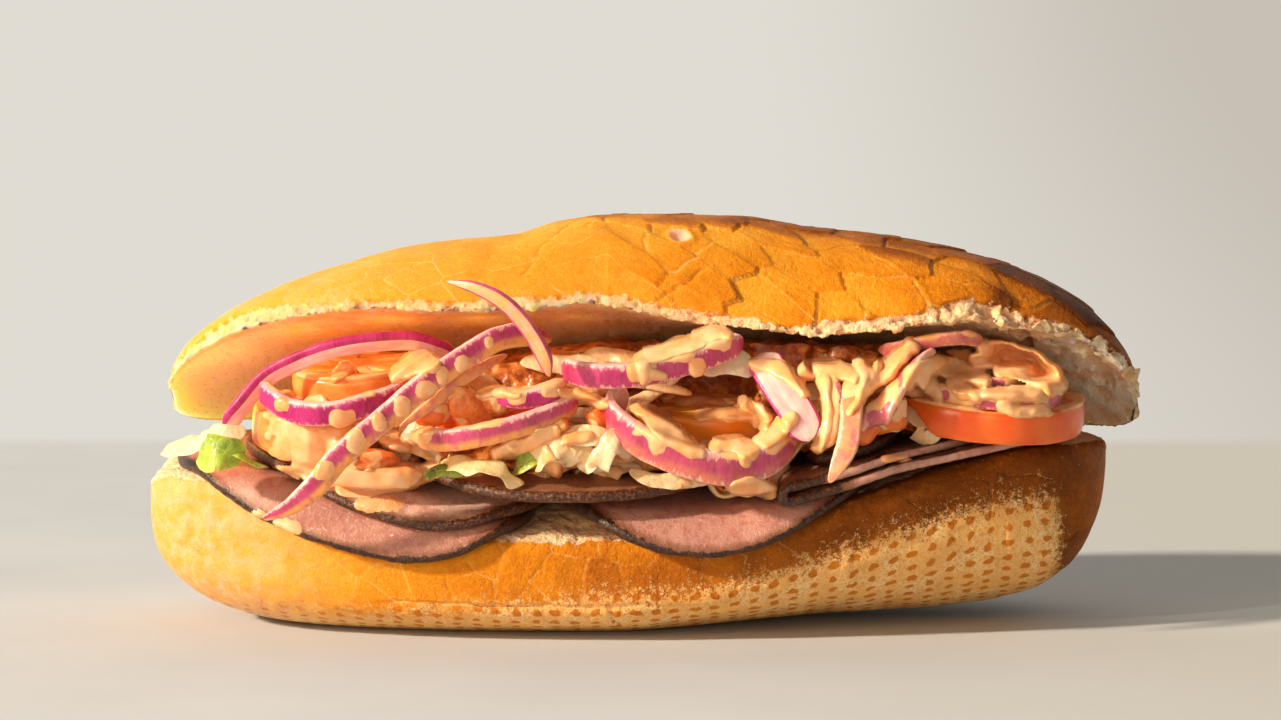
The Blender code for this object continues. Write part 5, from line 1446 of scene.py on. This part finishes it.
def sauce_mask(flat, runs):
    """How far inside the sauce's outline places in the photograph lie, in millimetres."""
    u = flat[..., 0] + 0.75 * noise(flat, 2.6, 301, 2) + 0.7 * noise(flat, 7.0, 303)
    v = flat[..., 1] + 0.65 * noise(flat, 3.2, 302, 2)
    inside = np.full(u.shape, -9.0)
    for run in runs:
        for c, r, radius in curve_points(run, 2.0)[0]:
            inside = np.maximum(inside, radius - np.hypot(u - c * PIXEL, v - r * PIXEL))
    return inside


def make_sauce(name, runs, tree, material):
    """Thick sauce: a skin laid over whatever the photograph shows in its outline, bridging the
    gaps between, with rounded rims that sink into what carries it."""
    spans = (np.arange(*span, SAUCE_PITCH) for span in (SAUCE_COLUMNS, SAUCE_ROWS))
    column, row = np.meshgrid(*spans, indexing="ij")
    flat = np.stack([column, row, 0 * row], -1) * PIXEL
    inside = sauce_mask(flat, runs)
    depth = np.full(column.shape, -30.0)
    for i, j in np.argwhere(inside > -2.5):
        hit = first_hit(tree, column[i, j], row[i, j])
        if hit is not None:
            depth[i, j] = hit[1]
    depth = np.minimum(depth, spread(depth, 9, np.min) + SAUCE_BRIDGE)
    level = np.minimum(depth, spread(spread(depth, 4, np.mean), 3, np.mean))
    level = spread(level, 1, np.mean)
    rise = np.clip(inside / SAUCE_EDGE, 0, 1)
    thick = (0.85 + 0.5 * noise(flat, 4.0, 305, 2)) * np.sqrt(1 - (1 - rise) ** 2)
    thick = thick + 0.12 * np.clip(inside, 0, 4) - 2.2 * smooth(-inside, 0, SAUCE_MARGIN)
    front = level - thick
    back = np.maximum(level + 1.5, front + 0.5)
    keep = inside > -SAUCE_MARGIN
    cell = keep[:-1, :-1] & keep[1:, :-1] & keep[1:, 1:] & keep[:-1, 1:]
    index = np.arange(keep.size).reshape(keep.shape)
    quads = np.stack([index[:-1, :-1], index[1:, :-1], index[1:, 1:], index[:-1, 1:]], -1)[cell]
    edges = np.concatenate([quads[:, [n, (n + 1) % 4]] for n in range(4)]).tolist()
    twins = {(b, a) for a, b in edges}
    rims = np.array([(b, a, a + keep.size, b + keep.size) for a, b in edges if (a, b) not in twins])
    faces = np.concatenate([quads, quads[:, ::-1] + keep.size, rims])
    points = np.concatenate([from_photo(column, row, y).reshape(-1, 3) for y in (front, back)])
    used, faces = np.unique(faces, return_inverse=True)
    return make_mesh(name, points[used], faces.reshape(-1, 4), np.zeros((0, 3), int), {}, material)


# ---------------------------------------------------------------- stage, light and camera

# The wall's painted light and shade: pale at the left, darker to the right
WALL_PAINTED_LIGHT_AND_SHADE = (0.745, 0.716, 0.650), (0.575, 0.525, 0.462)
WALL_START = (315, 350)  # millimetres behind the middle, where the floor turns into the wall
VIEW_BACK, VIEW_HEIGHT = 700.0, 116.0  # about where the photograph was taken from
FLOOR_TONES = (0.3, (0.595, 0.617, 0.653)), (0.7, (0.65, 0.672, 0.71))
FLOOR_PAINTED_SHADE_RIGHT = (0.58, 0.57, 0.55)
FLOOR_SIZE, FLOOR_LEVEL, BACKDROP_RADIUS = 5.0, -0.0002, 2.5  # metres


def wall_tone_with_painted_shade(s, parts):
    """Painted shade: pale at the left and darker towards the right and the top, as seen past the sub."""
    depth = s.add(s.math("MAXIMUM", parts[1], WALL_START[1]), VIEW_BACK)
    along = s.over(s.times(parts[0], VIEW_BACK + WALL_START[1]), depth)
    rise = s.step(s.over(s.minus(parts[2], VIEW_HEIGHT), depth), -0.13, 0.04)
    return s.mix(s.step(s.times(along, s.scaled(rise, 0.8, 1.0)), 40, 310), *WALL_PAINTED_LIGHT_AND_SHADE)


def make_stage():
    """A floor that darkens to the right in painted shade and turns into a pale wall with painted shade,
    and a dome of the same tone far outside that only the camera sees."""
    s = Shader("floor", Roughness=0.8, Specular_IOR_Level=0.0)
    parts = s.parts(s.place())
    # Painted shade: the floor darkens towards the right
    tone = s.mix(s.step(parts[0], -40, 160), s.ramp(s.noise(60.0, 5), *FLOOR_TONES), FLOOR_PAINTED_SHADE_RIGHT)
    behind = s.step(parts[1], *WALL_START)
    s.set(
        Base_Color=s.mix(behind, tone, (0.0, 0.0, 0.0)),
        Emission_Color=wall_tone_with_painted_shade(s, parts), Emission_Strength=behind,
    )
    bpy.ops.mesh.primitive_plane_add(size=FLOOR_SIZE, location=(0, 0, FLOOR_LEVEL))
    floor = bpy.context.object
    w = Shader("backdrop", Base_Color=(0, 0, 0, 1), Specular_IOR_Level=0.0, Emission_Strength=1.0)
    w.set(Emission_Color=wall_tone_with_painted_shade(w, w.parts(w.place())))
    bpy.ops.mesh.primitive_uv_sphere_add(segments=96, ring_count=48, radius=BACKDROP_RADIUS)
    dome = bpy.context.object
    for obj, shader in ((floor, s), (dome, w)):
        obj.name = shader.material.name
        obj.data.materials.append(shader.material)
    dome.visible_diffuse = dome.visible_glossy = dome.visible_transmission = False
    dome.visible_volume_scatter = dome.visible_shadow = False


# Lamps: kind, name, place, what it points at, strength, colour and size in metres
LAMPS = (
    ("SUN", "key", (-0.828, -0.369, 0.423), (0, 0, 0), 5.0, (1.0, 0.88, 0.70), 0),
    ("AREA", "fill", (0.05, -0.90, 0.10), (0, 0, 0.05), 0.8, (1.0, 0.86, 0.68), 0.35),
    ("AREA", "bounce", (-0.30, -0.40, 0.13), (0, -0.02, 0.045), 0.265, (1.0, 0.76, 0.48), 0.20),
    ("SPOT", "shaft", (-0.16, -0.19, 0.13), (0.064, -0.028, 0.048), 1.5, (1.0, 0.88, 0.70), 0.006),
)
LAMP_ANGLES = {"key": 4, "fill": 180, "bounce": 100, "shaft": 14}  # degrees
# Sunlight that the thin crust lets through into the mouth: places and watts
GLOWS = (
    (-86, -12, 46, 0.0060), (-70, -16, 56, 0.0030), (-52, -18, 60, 0.0028), (-34, -18, 62, 0.0024),
    (-14, -18, 63, 0.0016),
)
GLOW_COLOUR, GLOW_SIZE = (1.0, 0.46, 0.09), 0.008
WORLD_TONES = (0.0, (0.17, 0.162, 0.153)), (0.25, (0.68, 0.65, 0.58))  # front and back of the sky


def make_light(kind, name, location, target, energy, colour, size):
    data = bpy.data.lights.new(name, kind)
    data.energy, data.color = energy, colour
    angle = math.radians(LAMP_ANGLES.get(name, 0))
    if kind == "SUN":
        data.angle = angle
    elif kind == "AREA":
        data.size, data.spread = size, angle
    else:
        data.shadow_soft_size = size
    if kind == "SPOT":
        data.spot_size, data.spot_blend = angle, 0.7
    light = bpy.data.objects.new(name, data)
    light.visible_camera = False
    light.location = location
    light.rotation_euler = (Vector(target) - Vector(location)).to_track_quat("-Z", "Y").to_euler()
    bpy.context.scene.collection.objects.link(light)


def make_lights():
    for lamp in LAMPS:
        make_light(*lamp)
    for number, (*place, power) in enumerate(GLOWS):
        place = (np.array(place) + SHIFT) * MM
        make_light("POINT", f"glow_{number}", place, (0, 0, 1), power, GLOW_COLOUR, GLOW_SIZE)
    world = bpy.data.worlds.new("world")
    world.use_nodes = True
    tree = world.node_tree
    where = tree.nodes.new("ShaderNodeTexCoord").outputs["Generated"]
    parts = tree.nodes.new("ShaderNodeSeparateXYZ")
    back = tree.nodes.new("ShaderNodeValToRGB")
    for element, (place, colour) in zip(back.color_ramp.elements, WORLD_TONES):
        element.position, element.color = place, (*colour, 1)
    tree.links.new(where, parts.inputs[0])
    tree.links.new(parts.outputs[1], back.inputs[0])
    tree.links.new(back.outputs[0], tree.nodes["Background"].inputs["Color"])
    bpy.context.scene.world = world


def make_camera():
    data = bpy.data.cameras.new("camera")
    data.lens, data.sensor_width = CAMERA_LENS, SENSOR
    data.clip_start, data.clip_end = 0.01, 10.0
    camera = bpy.data.objects.new("camera", data)
    camera.location = (EYE + SHIFT) * MM
    camera.rotation_euler = (math.pi / 2 - CAMERA_LIFT, 0, 0)
    bpy.context.scene.collection.objects.link(camera)
    bpy.context.scene.camera = camera
    bpy.context.scene.view_settings.view_transform = "Standard"


# ---------------------------------------------------------------- the whole sub

pieces = []


def settle(piece, slot, *nodes):
    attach(piece, "root")
    if nodes:
        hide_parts(*nodes)
    pieces.append(piece)


bread = bread_material()
settle(make_roll_top(bread), "crust", "roll_top")
settle(make_roll_bottom(bread), "crust", "roll_bottom")
beef = beef_material()
for name, place in BEEF_SLICES.items():
    settle(make_beef_slice(name, *place, beef), "beef", name)
settle(make_folded_slice("beef_5", material=beef, **FOLDED_BEEF), "beef", "beef_5")
tomato = tomato_material()
for name, place in TOMATOES.items():
    settle(make_tomato(name, *place, tomato), "tomato", name)
onion = onion_material()
for name, (*strip, looks, points) in ONIONS.items():
    settle(make_onion(name, points, *strip, onion, **looks), "onion", name)
heap = heap_grid()
heap_normal = grid_normals(heap)
settle(make_heap(heap, heap_normal, painted_shade_heap_material()), "salad", "salad")
leaf = leaf_material()
settle(make_shreds(heap, heap_normal, leaf), "lettuce")
for name, place in LEAVES.items():
    settle(make_leaf(name, *place, leaf), "lettuce", *LEAF_NODES.get(name, ()))
settle(make_tomato_bits(tomato), "tomato")
sauce = sauce_material()
firm = [piece for piece in pieces if not piece.name.startswith(("onion", "lettuce", "leaf"))]
settle(make_sauce("sauce_under", SAUCE_UNDER_ONIONS, surface_tree(firm), sauce), "salad")
settle(make_sauce("sauce_runs", SAUCE_RUNS, surface_tree(pieces), sauce), "salad")

make_stage()
make_lights()
make_camera()
